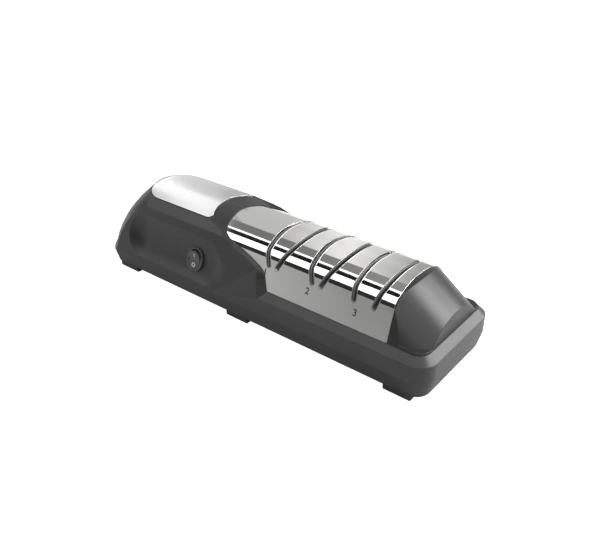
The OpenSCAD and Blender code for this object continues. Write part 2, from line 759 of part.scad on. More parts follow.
module switch_case() {
    color("#1b1c1e") on_switch() difference() {
        union() {
            inward(-bezel_proud, 0) stadium(bezel_w, bezel_h);
            inward(-over, switch_depth) stadium(switch_body[0], switch_body[1]);
        }
        inward(-bezel_proud - over, well_depth) stadium(well[0], well[1]);
        translate([-pin_reach - slim, pivot_y, 0]) rotate([0, 90, 0])
            cylinder(h = 2 * (pin_reach + slim), r = pin_r + run);
        for (x = tab_x) translate([x - tab[0] / 2 - run, switch_depth - tab_root, -tab[1] / 2 - run])
            cube([tab[0] + 2 * run, tab_root + over, tab[1] + 2 * run]);
    }
}
module rocker() {
    color("#222325") on_switch() translate([0, pivot_y, 0]) rotate([rocker_travel / 2, 0, 0]) {
        intersection() {
            rotate([90, 0, 90]) linear_extrude(rocker_size[0] + over, center = true)
                polygon([[-rocker_tip[1], rocker_tip[0]], [-rocker_dip, 0],
                    [-rocker_tip[1], -rocker_tip[0]],
                    [-rocker_tip[1] / 3, -rocker_size[1] / 2], [rocker_low[1], -rocker_low[0]],
                    [rocker_low[1], rocker_low[0]], [-rocker_tip[1] / 3, rocker_size[1] / 2]]);
            inward(-bezel_w, bezel_w) stadium(rocker_size[0], rocker_size[1]);
        }
        rotate([0, 90, 0]) cylinder(h = 2 * pin_reach, r = pin_r, center = true);
    }
}
tab = [0.8, 4.8];
tab_x = [-3.6, 3.6];
tab_root = 4;
tab_out = 7;
module switch_terminals() {
    color("#c8a048") on_switch() for (x = tab_x) difference() {
        translate([x - tab[0] / 2, switch_depth - tab_root, -tab[1] / 2])
            cube([tab[0], tab_root + tab_out, tab[1]]);
        translate([x - tab[0], switch_depth + tab_out - tab[1] / 2, 0]) rotate([0, 90, 0])
            cylinder(h = 2 * tab[0], r = tab[1] / 6);
    }
}
module cord_grommet() {
    color("#1b1c1e") on_back_face(inlet_x, (inlet_z - crease_z) / cos(lean)) difference() {
        union() {
            cylinder(h = grommet_flange[1], r = grommet_flange[0]);
            translate([0, 0, grommet_flange[1] - grommet_len])
                cylinder(h = grommet_len, r = grommet_neck_r);
            translate([0, 0, -wall - slim - grommet_lip[1]])
                cylinder(h = grommet_lip[1], r = grommet_lip[0]);
        }
        translate([0, 0, grommet_flange[1] - grommet_len - over])
            cylinder(h = grommet_len + 2 * over, r = inlet_r);
    }
}

// Motor

can_t = 1.4;
shaft_r = 2.5;
bush_r = 5;
core_r = 16.8;
core_off = 8;
core_x0 = motor_x0 + core_off;
core_len = 24;
core_slots = 12;
core_slot = [1.8, 13.4, 1.2];   // radius, place and mouth of a winding slot
wind_t = 4.5;
wind_r = [6, 15.4];
comm_off = 39;
comm_x0 = motor_x0 + comm_off;
comm_len = 8;
comm_r = 7;
brush = [4, 8, 4];
magnet_r = [17.8, 21.5];
magnet_angle = 120;
bell_t = 4;
bell_hub_r = 8;
module motor_can() {
    color("#9a9da0") difference() {
        bar_x(motor_x0, motor_x1, can_r);
        bar_x(motor_x0 + can_t, motor_x1 + over, can_r - can_t);
        bar_x(motor_x0 - over, motor_x0 + over + can_t, bush_r + slim);
        for (a = [0:60:300]) translate([motor_x0 - over, 0, axis_z]) rotate([a, 0, 0])
            translate([0, 0, (can_r + bush_r) / 2]) rotate([0, 90, 0])
                cylinder(h = can_t + 2 * over, r = bush_r / 2);
    }
}
module motor_magnets() {
    color("#4a4a4d") for (a = [0, 180]) translate([motor_x0 + core_len / 4, 0, axis_z]) rotate([a, 0, 0])
        rotate([0, 90, 0]) rotate([0, 0, -magnet_angle / 2])
            rotate_extrude(angle = magnet_angle, $fn = 96)
            ring_outline(magnet_r[0], magnet_r[1], 0, core_len * 1.25);
}
module motor_end_bell() {
    color("#2b2c2f") difference() {
        union() {
            bar_x(motor_x1, motor_x1 + bell_t, can_r);
            difference() {
                bar_x(motor_x1 - bell_t, motor_x1 + over, can_r - can_t - slim);
                bar_x(motor_x1 - 2 * bell_t, motor_x1, can_r - 3 * can_t);
            }
            bar_x(motor_x1 - over, motor_x1 + bell_t + over, bell_hub_r);
            for (m = [-1, 1]) translate([comm_x0, m > 0 ? comm_r + over : -comm_r - over - brush[1],
                axis_z - brush[2]])
                cube([motor_x1 - comm_x0 + over, brush[1], 2 * brush[2]]);
        }
        bar_x(motor_x1 - 2 * bell_t, motor_x1 + 2 * bell_t, bush_r + slim);
        translate([comm_x0 + (comm_len - brush[0]) / 2 - slim, -can_r, axis_z - brush[2] / 2 - slim])
            cube([brush[0] + 2 * slim, 2 * can_r, brush[2] + 2 * slim]);
    }
}
module motor_brushes() {
    color("#242424") for (m = [-1, 1]) difference() {
        translate([comm_x0 + (comm_len - brush[0]) / 2, m > 0 ? 0 : -comm_r - brush[1],
            axis_z - brush[2] / 2])
            cube([brush[0], comm_r + brush[1], brush[2]]);
        bar_x(comm_x0 - over, comm_x0 + comm_len + over, comm_r + slim);
    }
}
module motor_bushes() {
    color("#b08d57") {
        turned(motor_x0 - over) ring_outline(shaft_r + run, bush_r, 0, can_t + 3 * over);
        turned(motor_x1 - over) ring_outline(shaft_r + run, bush_r, 0, bell_t + 2 * over);
    }
}
module armature_core() {
    color("#6e7276") difference() {
        bar_x(core_x0, core_x0 + core_len, core_r);
        bar_x(core_x0 - over, core_x0 + core_len + over, shaft_r);
        for (k = [0:core_slots - 1]) translate([core_x0 - over, 0, axis_z])
            rotate([360 * k / core_slots, 0, 0]) {
            translate([0, 0, core_slot[1]]) rotate([0, 90, 0])
                cylinder(h = core_len + 2 * over, r = core_slot[0]);
            translate([0, -core_slot[2] / 2, core_slot[1]])
                cube([core_len + 2 * over, core_slot[2], core_r]);
        }
    }
}
module armature_windings() {
    color("#b5651d") {
        for (x = [core_x0 - wind_t - slim, core_x0 + core_len + slim]) turned(x) difference() {
            ring_outline(wind_r[0], wind_r[1], 0, wind_t);
            ring_outline(wind_r[1] - wind_t / 3, wind_r[1] + over, x < core_x0 ? -over : wind_t * 2 / 3,
                x < core_x0 ? wind_t / 3 : wind_t + over);
        }
        for (k = [0:core_slots - 1]) translate([core_x0 - wind_t / 2, 0, axis_z])
            rotate([360 * k / core_slots, 0, 0])
            translate([0, 0, core_slot[1]]) rotate([0, 90, 0])
                cylinder(h = core_len + wind_t, r = core_slot[0] - slim);
    }
}
module commutator() {
    color("#b87333") difference() {
        bar_x(comm_x0, comm_x0 + comm_len, comm_r);
        bar_x(comm_x0 - over, comm_x0 + comm_len + over, shaft_r);
        for (k = [0:core_slots - 1]) translate([comm_x0 - over, 0, axis_z])
            rotate([360 * k / core_slots, 0, 0])
            translate([0, -run * 4, comm_r - over]) cube([comm_len + 2 * over, run * 8, 2 * over]);
    }
}
coupling_off = 21;
coupling_x0 = motor_x1 + coupling_off;
coupling_len = 20;
coupling_r = 7;
module motor_shaft() { color("#a9acb0") bar_x(motor_x0 - 2 * over, coupling_x0 + coupling_len * 0.45,
    shaft_r); }
fan_off = 5;
fan_x0 = motor_x1 + bell_t + fan_off;
fan_hub = [5.5, 7];
fan_r = 16.5;
fan_blades = 9;
blade_t = 1.2;
blade_pitch = 35;
module cooling_fan() {
    color("#e4e4e0") difference() {
        union() {
            bar_x(fan_x0, fan_x0 + fan_hub[1], fan_hub[0]);
            for (k = [0:fan_blades - 1]) translate([fan_x0 + fan_hub[1] / 2, 0, axis_z])
                rotate([360 * k / fan_blades, 0, 0])
                rotate([0, 0, blade_pitch]) translate([-fan_hub[1] / 2, -blade_t / 2, shaft_r + over])
                    cube([fan_hub[1], blade_t, fan_r - shaft_r - over]);
        }
        bar_x(fan_x0 - over, fan_x0 + fan_hub[1] + over, shaft_r);
    }
}
strap_t = 1;
strap_w = 10;
strap_ear = 8;
strap_post_r = 3.5;
strap_y = can_r + (strap_ear + strap_t) / 2 + slim;
strap_z = axis_z - can_r / 2;
module strap_posts() {
    for (m = [-1, 1]) translate([motor_mid, m * strap_y, floor_z - wall / 2])
        cylinder(h = strap_z - floor_z + wall / 2, r = strap_post_r);
}
module strap_holes() {
    for (m = [-1, 1]) translate([motor_mid, m * strap_y, strap_z - screw_reach])
        cylinder(h = screw_reach + over, r = screw_r + run);
}
module motor_strap() {
    color("#a9acb0") difference() {
        union() {
            prism_x(motor_mid - strap_w / 2, motor_mid + strap_w / 2) difference() {
                union() {
                    translate([0, axis_z]) circle(r = can_r + slim + strap_t, $fn = 120);
                    translate([-can_r - slim - strap_t, strap_z])
                        square([2 * (can_r + slim + strap_t), axis_z - strap_z]);
                }
                translate([0, axis_z]) circle(r = can_r + slim, $fn = 120);
                translate([-can_r - slim, strap_z - over])
                    square([2 * (can_r + slim), axis_z - strap_z + over]);
                translate([-2 * can_r, -over]) square([4 * can_r, strap_z + over]);
            }
            for (m = [-1, 1]) translate([motor_mid - strap_w / 2,
                m > 0 ? can_r + slim : -can_r - slim - strap_ear, strap_z])
                cube([strap_w, strap_ear, strap_t]);
        }
        for (m = [-1, 1]) translate([motor_mid, m * strap_y, strap_z - over])
            cylinder(h = 4 * over, r = screw_r + slim);
    }
}
module strap_screws() {
    color("#8c8f93") for (m = [-1, 1]) translate([motor_mid, m * strap_y, 0]) {
        translate([0, 0, strap_z + strap_t]) cylinder(h = screw_head[1], r = screw_head[0]);
        translate([0, 0, strap_z - screw_reach + over]) cylinder(h = screw_reach, r = screw_r);
    }
}
board = [30, 22, 1.6];
board_off = 24;
board_x0 = motor_x1 + board_off;
board_y0 = -11;
board_rise = 4;
board_z = floor_z + board_rise;
post_r = 2;
module board_posts() {
    for (x = [board_x0 + 2 * post_r, board_x0 + board[0] - 2 * post_r],
        y = [board_y0 + 2 * post_r, board_y0 + board[1] - 2 * post_r])
            translate([x, y, floor_z - wall / 2]) cylinder(h = board_z - floor_z + wall / 2, r = post_r);
}
module rectifier_board() { color("#3f6b46") translate([board_x0, board_y0, board_z]) cube(board); }
bridge = [8, 8, 3];
cap_can = [4, 7];
module board_parts() {
    top = board_z + board[2];
    color("#303236") translate([board_x0 + post_r, board_y0 + board[1] - bridge[1] - post_r, top])
        cube(bridge);
    color("#5d6a80") for (k = [0, 1])
        translate([board_x0 + board[0] - (1.4 + 2.4 * k) * cap_can[0], board_y0 + board[1] / 2, top])
            cylinder(h = cap_can[1], r = cap_can[0]);
}

// Spindle and bearings

block_t = 8;
block_off = [26.5, 25];
block_x = [foot_x - block_off[0], x_right - block_off[1]];
block_half = 17;
block_r = 11;
block_foot = [22, 4];
bush_wall = 2.4;
bush_flange = [1.2, 1];
screw_in = 3.2;
spindle_x0 = coupling_x0 + coupling_len * 0.55;
spindle_x1 = block_x[1] + block_t / 2 + over;
ring_t = 1.1;
ring_out = 7;
groove = 0.4;
module shaft_coupling() {
    color("#7d8084") difference() {
        bar_x(coupling_x0, coupling_x0 + coupling_len, coupling_r);
        bar_x(coupling_x0 - over, coupling_x0 + coupling_len / 2 + over, shaft_r);
        bar_x(coupling_x0 + coupling_len / 2, coupling_x0 + coupling_len + over, spindle_r);
    }
}
module spindle() {
    color("#b4b7ba") difference() {
        bar_x(spindle_x0, spindle_x1, spindle_r);
        for (i = [0:2], s = [-1, 1]) turned(stages[i], s)
            ring_outline(spindle_r - groove, spindle_r + over, hub_out(i) + slim,
                hub_out(i) + slim + ring_t);
    }
}
module stop_rings() {
    color("#8c8f93") for (i = [0:2], s = [-1, 1]) turned(stages[i], s)
        ring_outline(spindle_r - groove, ring_out, hub_out(i) + slim, hub_out(i) + slim + ring_t);
}
module bearing_block(x) {
    color("#4b4d51") difference() {
        union() {
            prism_x(x - block_t / 2, x + block_t / 2) {
                translate([0, axis_z]) circle(r = block_r, $fn = 72);
                polygon([[-block_half, floor_z], [block_half, floor_z],
                    [block_half, floor_z + block_foot[1]],
                    [block_r, axis_z], [-block_r, axis_z], [-block_half, floor_z + block_foot[1]]]);
            }
            translate([x - block_foot[0] / 2, -block_half, floor_z])
                cube([block_foot[0], 2 * block_half, block_foot[1]]);
        }
        bar_x(x - block_t, x + block_t, spindle_r + bush_wall + slim);
        for (p = block_screws(x)) translate([p[0], p[1], floor_z - over])
            cylinder(h = block_foot[1] + 2 * over, r = screw_r + slim);
    }
}
function block_screws(x) =
    [for (m = [-1, 1]) [x + m * (block_foot[0] / 2 - screw_in), m * (block_half - screw_head[0] - over)]];
module bearing_block_inner() { bearing_block(block_x[0]); }
module bearing_block_outer() { bearing_block(block_x[1]); }
module spindle_bushes() {
    color("#b08d57") for (x = block_x) turned(x - block_t / 2) union() {
        ring_outline(spindle_r + run, spindle_r + bush_wall, 0, block_t);
        ring_outline(spindle_r + run, spindle_r + bush_wall + bush_flange[0], -bush_flange[1], 0);
    }
}
module bearing_screws() {
    color("#8c8f93") for (x = block_x, p = block_screws(x)) translate([p[0], p[1], 0]) {
        translate([0, 0, floor_z + block_foot[1]]) cylinder(h = screw_head[1], r = screw_head[0] - slim);
        translate([0, 0, floor_z - wall + 3 * slim]) cylinder(h = wall + block_foot[1], r = screw_r);
    }
}
module bearing_holes() {
    for (x = block_x, p = block_screws(x)) translate([p[0], p[1], floor_z - wall + slim])
        cylinder(h = wall + over, r = screw_r + run);
}

// Discs: h is the distance from the middle of the stage

face_h = 2.9;
fine_face_h = 7.4;
face_at_r = 15;
cone = 8;
disc_t = 1.2;
fine_disc_t = 4;
fine_cone = 2;
fine_inset = 0.5;
hub_r = 7;
packed_spring = [1.8, 2.5];      // half the length of a spring pressed flat
hub_face = [6, 9];
room_face = [4.6, 8.6];
function hub_in(i) = disc_travel + packed_spring[i < 2 ? 0 : 1];
function hub_out(i) = hub_face[i < 2 ? 0 : 1];
function disc_room(i) = room_face[i < 2 ? 0 : 1];
function face_of(i) = i < 2 ? face_h : fine_face_h;
function cone_of(i) = i < 2 ? cone : fine_cone;
function thick_of(i) = i < 2 ? disc_t : fine_disc_t;
function face_at(i, r) = face_of(i) + (face_at_r - r) * tan(cone_of(i));
module disc(i, s) {
    r = i < 2 ? disc_r : disc_r - fine_inset;
    t = thick_of(i) / cos(cone_of(i));
    turned(stages[i], s) polygon([[spindle_r + run, hub_in(i)], [hub_r, hub_in(i)],
        [hub_r, face_at(i, hub_r) - t],
        [r, face_at(i, r) - t], [r, face_at(i, r)], [hub_r, face_at(i, hub_r)], [hub_r, hub_out(i)],
        [spindle_r + run, hub_out(i)]]);
}
module disc_1a() { color("#8f9296") disc(0, -1); }
module disc_1b() { color("#8f9296") disc(0, 1); }
module disc_2a() { color("#8f9296") disc(1, -1); }
module disc_2b() { color("#8f9296") disc(1, 1); }
module disc_3a() { color("#c9b79a") disc(2, -1); }
module disc_3b() { color("#c9b79a") disc(2, 1); }

// springs: one open coil between the hubs of each pair
coil_r = 5.7;
coil_wire = 0.35;
coil_turns = 3.5;
coil_steps = 12;
coil_sides = 6;
module coil(i) {
    half = hub_in(i) - coil_wire - slim;
    n = coil_turns * coil_steps;
    color("#a9acb0") loft([for (k = [0:n]) let (a = 360 * k / coil_steps,
        x = stages[i] - half + 2 * half * k / n)
        [for (j = [0:coil_sides - 1]) let (b = 360 * j / coil_sides, r = coil_r + coil_wire * cos(b))
            [x + coil_wire * sin(b), r * sin(a), axis_z + r * cos(a)]]]);
}
module disc_spring_1() { coil(0); }
module disc_spring_2() { coil(1); }
module disc_spring_3() { coil(2); }

bar = [22, 10, 4];
rib_t = 1.5;
module magnet_ribs() {
    for (i = [0, 1], s = [-1, 1])
        translate([stages[i] - bar[0] / 2, s * (bar[1] / 2 + slim + rib_t / 2) - rib_t / 2,
            floor_z - wall / 2]) cube([bar[0], rib_t, wall / 2 + bar[2] / 2]);
}
module filings_magnets() {
    color("#3c3e42") for (i = [0, 1]) translate([stages[i] - bar[0] / 2, -bar[1] / 2, floor_z]) cube(bar);
}

upper_housing();
base_tray();
foot_pads();
top_plate();
stage_cover();
end_cap();
guide_1();
guide_2();
guide_3();
switch_case();
rocker();
switch_terminals();
cord_grommet();
base_screws();
motor_can();
motor_magnets();
motor_end_bell();
motor_brushes();
motor_bushes();
armature_core();
armature_windings();
commutator();
motor_shaft();
cooling_fan();
motor_strap();
strap_screws();
rectifier_board();
board_parts();
shaft_coupling();
spindle();
bearing_block_inner();
bearing_block_outer();
spindle_bushes();
bearing_screws();
disc_1a();
disc_1b();
disc_2a();
disc_2b();
disc_3a();
disc_3b();
disc_spring_1();
disc_spring_2();
disc_spring_3();
stop_rings();
filings_magnets();
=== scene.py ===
"""Finishes, printed marks and studio for the electric knife sharpener."""

import json
import math

import bmesh
import bpy
from bpy.props import FloatProperty, FloatVectorProperty, PointerProperty
from mathutils import Matrix, Vector


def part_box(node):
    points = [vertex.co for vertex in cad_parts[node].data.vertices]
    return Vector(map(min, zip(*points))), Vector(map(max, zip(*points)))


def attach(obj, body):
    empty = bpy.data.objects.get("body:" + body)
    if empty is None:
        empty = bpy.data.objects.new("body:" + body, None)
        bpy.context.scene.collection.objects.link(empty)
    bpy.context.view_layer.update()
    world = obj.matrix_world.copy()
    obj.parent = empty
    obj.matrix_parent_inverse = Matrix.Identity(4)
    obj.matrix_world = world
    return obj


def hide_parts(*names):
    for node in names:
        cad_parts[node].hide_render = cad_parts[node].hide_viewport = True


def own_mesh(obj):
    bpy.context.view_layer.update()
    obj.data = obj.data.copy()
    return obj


bl_info = {
    "name": "Knife Sharpener Dressing",
    "version": (1, 0, 0),
    "blender": (4, 5, 0),
    "location": "View3D > Sidebar > Sharpener",
    "description": "Gives an electric knife sharpener its finishes, printed marks and studio",
    "category": "Object",
}

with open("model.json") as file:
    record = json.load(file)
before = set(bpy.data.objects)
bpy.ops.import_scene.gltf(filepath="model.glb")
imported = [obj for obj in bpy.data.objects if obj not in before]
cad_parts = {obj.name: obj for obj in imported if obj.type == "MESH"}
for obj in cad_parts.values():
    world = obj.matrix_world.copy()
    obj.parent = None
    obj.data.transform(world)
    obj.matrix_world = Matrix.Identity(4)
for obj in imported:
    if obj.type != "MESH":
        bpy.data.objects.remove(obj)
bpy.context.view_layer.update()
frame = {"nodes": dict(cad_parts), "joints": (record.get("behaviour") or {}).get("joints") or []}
NODES = frame["nodes"]
MM = 0.001

# The knife slots in pairs: the middle of a pair and the distance between its lower ends, in
# mm, and the tilt in degrees.
STAGE_SLOTS = ((27.0, 6.2, 23.0), (65.8, 6.2, 23.0), (104.6, 15.3, 10.0))
SLOT_FOOT = 50.8 * MM        # height of the slots' lower ends
SLOT_ARC_STEPS = 8           # chords in a slot's round end
PLAIN_SECTION = 46.4 * MM    # a place along the cover that no slot cuts
PROFILE_PITCH = 0.5 * MM     # spacing of the points read across the cover
PROFILE_REACH = 76           # points read on each side of the middle
ABOVE_ALL = 0.2              # a height over the whole object

# The stage numbers: name, glyph, and the place of its middle along and up, in mm.
STAGE_MARKS = (
    ("stage_mark_1", "1", (21.5, 47.6)),
    ("stage_mark_2", "2", (60.0, 46.7)),
    ("stage_mark_3", "3", (100.0, 45.5)),
)
SIDE_FOOT = (40.0, 36.0)     # half the cover's width at its foot, and that foot's height, in mm

# The switch marks: name, glyph and the half of the rocker that carries it, 1 for the upper.
SWITCH_MARKS = (("switch_mark_on", "I", 1), ("switch_mark_off", "O", -1))
ROCKER_SLOPE = (1.2, 7.2)    # how far a half of the rocker comes forward, and over what height
ROCKER_MIDDLE = 2.2 * MM     # how far the rocker's middle line stands in front of its pivot
MARK_PLACE = 3.9 * MM        # from the rocker's middle line to each mark

CAPITAL_SHARE = 0.7          # a capital's height as a share of the font size
INK_DEPTH = 0.02 * MM

# How deep each kind of bump is.
GRAIN_DEPTH = 0.05 * MM
BRUSH_DEPTH = 0.03 * MM
GRIT_DEPTH = 0.08 * MM

BEND_BLEND = 0.3 * MM        # half the height over which the brushing turns into polish
COVER_EDGE = 0.35 * MM       # radius that softens the cover's edges

# Lines per metre along x, y and z.
TURNED = (900.0, 70.0, 70.0)
EVEN = (300.0, 300.0, 300.0)

# Colours of the dust on each finish, of the black mouldings and carbon, and of the magnets.
PLASTIC_DUST = (0.16, 0.16, 0.155)
METAL_DUST = (0.30, 0.29, 0.27)
COVER_DUST = (0.36, 0.35, 0.33)
BLACK = (0.022, 0.023, 0.025)
MAGNET = (0.06, 0.06, 0.065)

# The studio, in metres.
CENTRE = (0, 0, 0.06)        # what the cards and lights stand around
FLOOR_REACH = 30             # half the floor's side
SOFTBOX_ANGLE = math.radians(56)     # up from the front to the softbox's middle
SOFTBOX_SPREAD = math.radians(30)    # half the angle that the softbox fills
SOFTBOX_LENGTH = 2.4         # along x
FILL_SIZE = 1.2
FILL_PLACE = (0.5, 1.1, 1.3)
CAMERA_PLACE = Vector((313.74, -361.74, 304.33)) * MM
CAMERA_AHEAD = Vector((-0.534, 0.670, -0.516))
CAMERA_RIGHT = Vector((0.782, 0.623, 0))

# A card's run along x, and the part of it over which its level changes.
COVER_RUN = (-0.63, 0.45, -0.5, -0.2)
LEFT_RUN = (-0.63, -0.35, -0.5, -0.36)
RIGHT_RUN = (-0.35, 0.35, -0.35, -0.2)
PLATE_RUN = (-1.8, -0.63, -0.92, -0.72)
NEAR, FAR = 0.82, 0.86       # shares of the light distance

# The cards that only reflections see: name, lowest and highest angle up from the front in
# degrees, first and last level, run, share of the light distance.
CARDS = (
    ("upper_flag", 91, 98, (0.012, 0.012), COVER_RUN, NEAR),
    ("lower_flag", 8, 34, (0.03, 0.03), COVER_RUN, NEAR),
    ("white_sliver", 98, 101, (2.2, 2.2), COVER_RUN, NEAR),
    ("grey_card", 101, 116, (0.22, 0.33), COVER_RUN, NEAR),
    ("crown_card_left", 116, 150, (0.64, 1.05), LEFT_RUN, FAR),
    ("crown_card_right", 116, 150, (1.05, 0.45), RIGHT_RUN, FAR),
    ("far_card_left", 150, 186, (0.64, 1.05), LEFT_RUN, FAR),
    ("far_card_right", 150, 186, (1.05, 0.45), RIGHT_RUN, FAR),
    ("plate_far_card", 138, 186, (1.3, 0.72), PLATE_RUN, NEAR),
    ("front_card", -4, 8, (1.1, 0.0), (-0.63, 0.45, -0.5, -0.26), NEAR),
    ("left_card", -4, 20, (1.6, 1.2), (-1.8, -0.63, -1.2, -0.7), NEAR),
    ("plate_edge_card", 88, 104, (0.75, 1.3), PLATE_RUN, NEAR),
    ("plate_grey_card", 104, 119, (0.3, 1.4), PLATE_RUN, NEAR),
    ("plate_white_card", 119, 138, (1.15, 1.35), PLATE_RUN, NEAR),
)

# The small soft lights: name, setting that holds its power, side, place and what it points at.
SMALL_LIGHTS = (
    ("end_softbox", "end", 0.45, (0.635, 0.684, 0.38), (0.155, 0, 0.035)),
    ("cap_softbox", "cap", 0.45, (0.66, 0.32, 0.70), (0.14, 0, 0.055)),
    ("nose_softbox", "nose", 0.4, (-0.95, 0.60, 0.20), (-0.14, 0, 0.04)),
)


# the sizes and colours that a user would change

def colour(name, description, default):
    return FloatVectorProperty(
        name=name, description=description, default=default, size=3, min=0, max=1,
        subtype="COLOR",
    )


def share(name, description, default):
    return FloatProperty(
        name=name, description=description, default=default, min=0, max=1, subtype="FACTOR"
    )


def length(name, description, default):
    return FloatProperty(
        name=name, description=description, default=default, min=0, subtype="DISTANCE",
        unit="LENGTH",
    )


def power(name, description, default):
    return FloatProperty(
        name=name, description=description, default=default, min=0, subtype="POWER",
        unit="POWER",
    )


class SHARPENER_PG_body(bpy.types.PropertyGroup):
    """Colours and sheen of the dark mouldings"""
    housing: colour("Housing", "Colour of the motor end, rim and end cap",
                    (0.0122, 0.0123, 0.0120))
    tray: colour("Tray", "Colour of the skirt under the crease", (0.0075, 0.0076, 0.0074))
    pads: colour("Foot pads", "Colour of the rubber under the feet", (0.018, 0.018, 0.019))
    sheen: share("Sheen", "Roughness of the mouldings", 0.36)
    grain_size: length("Grain size", "Spacing of the fine moulded grain", 0.0007)
    edge: length("Edge radius", "Radius that softens moulded edges", 0.0009)


class SHARPENER_PG_bright(bpy.types.PropertyGroup):
    """Colours and brushing of the bright metal"""
    cover: colour("Cover", "Colour of the slotted stage cover", (0.66, 0.655, 0.64))
    crown: colour("Crown plate", "Colour of the crown plate", (0.78, 0.78, 0.785))
    brushing: share("Brushing", "Roughness of the brushed front and back of the cover", 0.36)
    polish: share("Polish", "Roughness of the cover's polished crown", 0.055)
    slot_width: length("Slot width", "Width of the knife slots in the cover", 0.0039)
    bead: length("Bead", "Radius of the rolled bead round each knife slot", 0.00025)
    bend_height: length(
        "Bend height", "Height at which the brushed sides turn into the polished crown", 0.0569
    )
    lean: FloatProperty(
        name="Side lean", description="Lean of the cover's brushed sides from upright",
        default=math.radians(23.557), min=0, subtype="ANGLE", unit="ROTATION",
    )


class SHARPENER_PG_switch(bpy.types.PropertyGroup):
    """The rocker switch and its marks"""
    body: colour("Switch", "Colour of the bezel and the rocker", (0.016, 0.016, 0.018))
    ink: colour("Switch ink", "Colour of the on and off marks", (0.45, 0.45, 0.44))
    mark_height: length("Mark height", "Height of the on and off marks", 0.0034)
    turn: FloatProperty(
        name="Rocker turn",
        description="Turn of the rocker's middle plane from upright, at rest",
        default=math.radians(-12.111), subtype="ANGLE", unit="ROTATION",
    )


class SHARPENER_PG_stages(bpy.types.PropertyGroup):
    """The stages' discs and numbers"""
    grit: colour("Grit", "Colour of the coated grinding discs", (0.30, 0.31, 0.32))
    polishing: colour("Polishing disc", "Colour of the flexible polishing discs",
                      (0.58, 0.48, 0.36))
    guide: colour("Guides", "Colour of the slotted guides", (0.075, 0.076, 0.078))
    ink: colour("Number ink", "Colour of the stage numbers", (0.022, 0.022, 0.024))
    number_height: length("Number height", "Height of the stage numbers", 0.0046)


class SHARPENER_PG_drive(bpy.types.PropertyGroup):
    """Colours of the motor, shafts and board"""
    steel: colour("Plated steel", "Colour of the motor can and its strap", (0.46, 0.47, 0.48))
    ground: colour("Ground steel", "Colour of the shafts", (0.56, 0.57, 0.58))
    copper: colour("Copper", "Colour of the windings and the commutator", (0.62, 0.29, 0.13))
    bronze: colour("Bronze", "Colour of the bushes", (0.52, 0.38, 0.21))
    laminate: colour("Board", "Colour of the rectifier board", (0.07, 0.22, 0.11))
    fan: colour("Fan", "Colour of the cooling fan", (0.66, 0.66, 0.62))


class SHARPENER_PG_studio(bpy.types.PropertyGroup):
    """Floor, light and camera"""
    floor: colour("Floor", "Colour of the plain floor", (0.60, 0.60, 0.60))
    surround: FloatProperty(
        name="Surround", description="Brightness of the studio around", default=0.42, min=0
    )
    softbox: power("Softbox", "Power of the long softbox at the front", 15.0)
    fill: power("Fill", "Power of the fill light above the back", 3.0)
    end: power("End light", "Power of the soft light behind the end cap", 6.5)
    cap: power("Cap light", "Power of the soft light above the end cap", 11.0)
    nose: power("Nose light", "Power of the soft light behind the nose", 4.5)
    lift: share("Floor lift", "How much brighter the camera sees the floor", 1.0)
    lens: FloatProperty(
        name="Lens", description="Focal length in mm on a 36 mm sensor", default=42.56, min=1
    )
    exposure: FloatProperty(
        name="Exposure", description="Exposure of the picture in stops", default=0.0
    )
    distance: length("Light distance", "Distance of the cards and lights from the cover", 0.9)


# node helpers

def add(tree, kind, **values):
    node = tree.nodes.new(kind)
    for key, value in values.items():
        setattr(node, key, value)
    return node


def link(tree, source, target):
    tree.links.new(source, target)


def feed(tree, value, socket):
    """A number or tuple is set on a socket, and an output is linked to it."""
    if isinstance(value, (int, float, tuple)):
        socket.default_value = value
    else:
        link(tree, value, socket)


def maths(tree, operation, a, b):
    node = add(tree, "ShaderNodeMath", operation=operation)
    feed(tree, a, node.inputs[0])
    feed(tree, b, node.inputs[1])
    return node.outputs[0]


def noise(tree, vector, scale, detail=2):
    node = add(tree, "ShaderNodeTexNoise")
    link(tree, vector, node.inputs["Vector"])
    feed(tree, scale, node.inputs["Scale"])
    node.inputs["Detail"].default_value = detail
    return node


def centred(tree, value, spread):
    """A noise value as an offset about zero."""
    return maths(tree, "MULTIPLY", maths(tree, "SUBTRACT", value, 0.5), spread)


def blend_values(tree, low, high, factor):
    node = add(tree, "ShaderNodeMapRange")
    link(tree, factor, node.inputs["Value"])
    link(tree, low, node.inputs["To Min"])
    link(tree, high, node.inputs["To Max"])
    return node.outputs["Result"]


def blend_colours(tree, first, second, factor):
    node = add(tree, "ShaderNodeMix", data_type="RGBA")
    link(tree, factor, node.inputs["Factor"])
    for name, value in (("A", first), ("B", second)):
        socket = [s for s in node.inputs if s.name == name and s.type == "RGBA"][0]
        feed(tree, (*value, 1) if isinstance(value, tuple) else value, socket)
    return [s for s in node.outputs if s.type == "RGBA"][0]


def group_base(name, inputs, outputs):
    tree = bpy.data.node_groups.new(name, "ShaderNodeTree")
    tree.interface.new_socket(name="Vector", in_out="INPUT", socket_type="NodeSocketVector")
    for label, kind, default in inputs:
        socket = tree.interface.new_socket(name=label, in_out="INPUT", socket_type=kind)
        socket.default_value = default
    for label in outputs:
        tree.interface.new_socket(name=label, in_out="OUTPUT", socket_type="NodeSocketFloat")
    return tree, add(tree, "NodeGroupInput"), add(tree, "NodeGroupOutput")


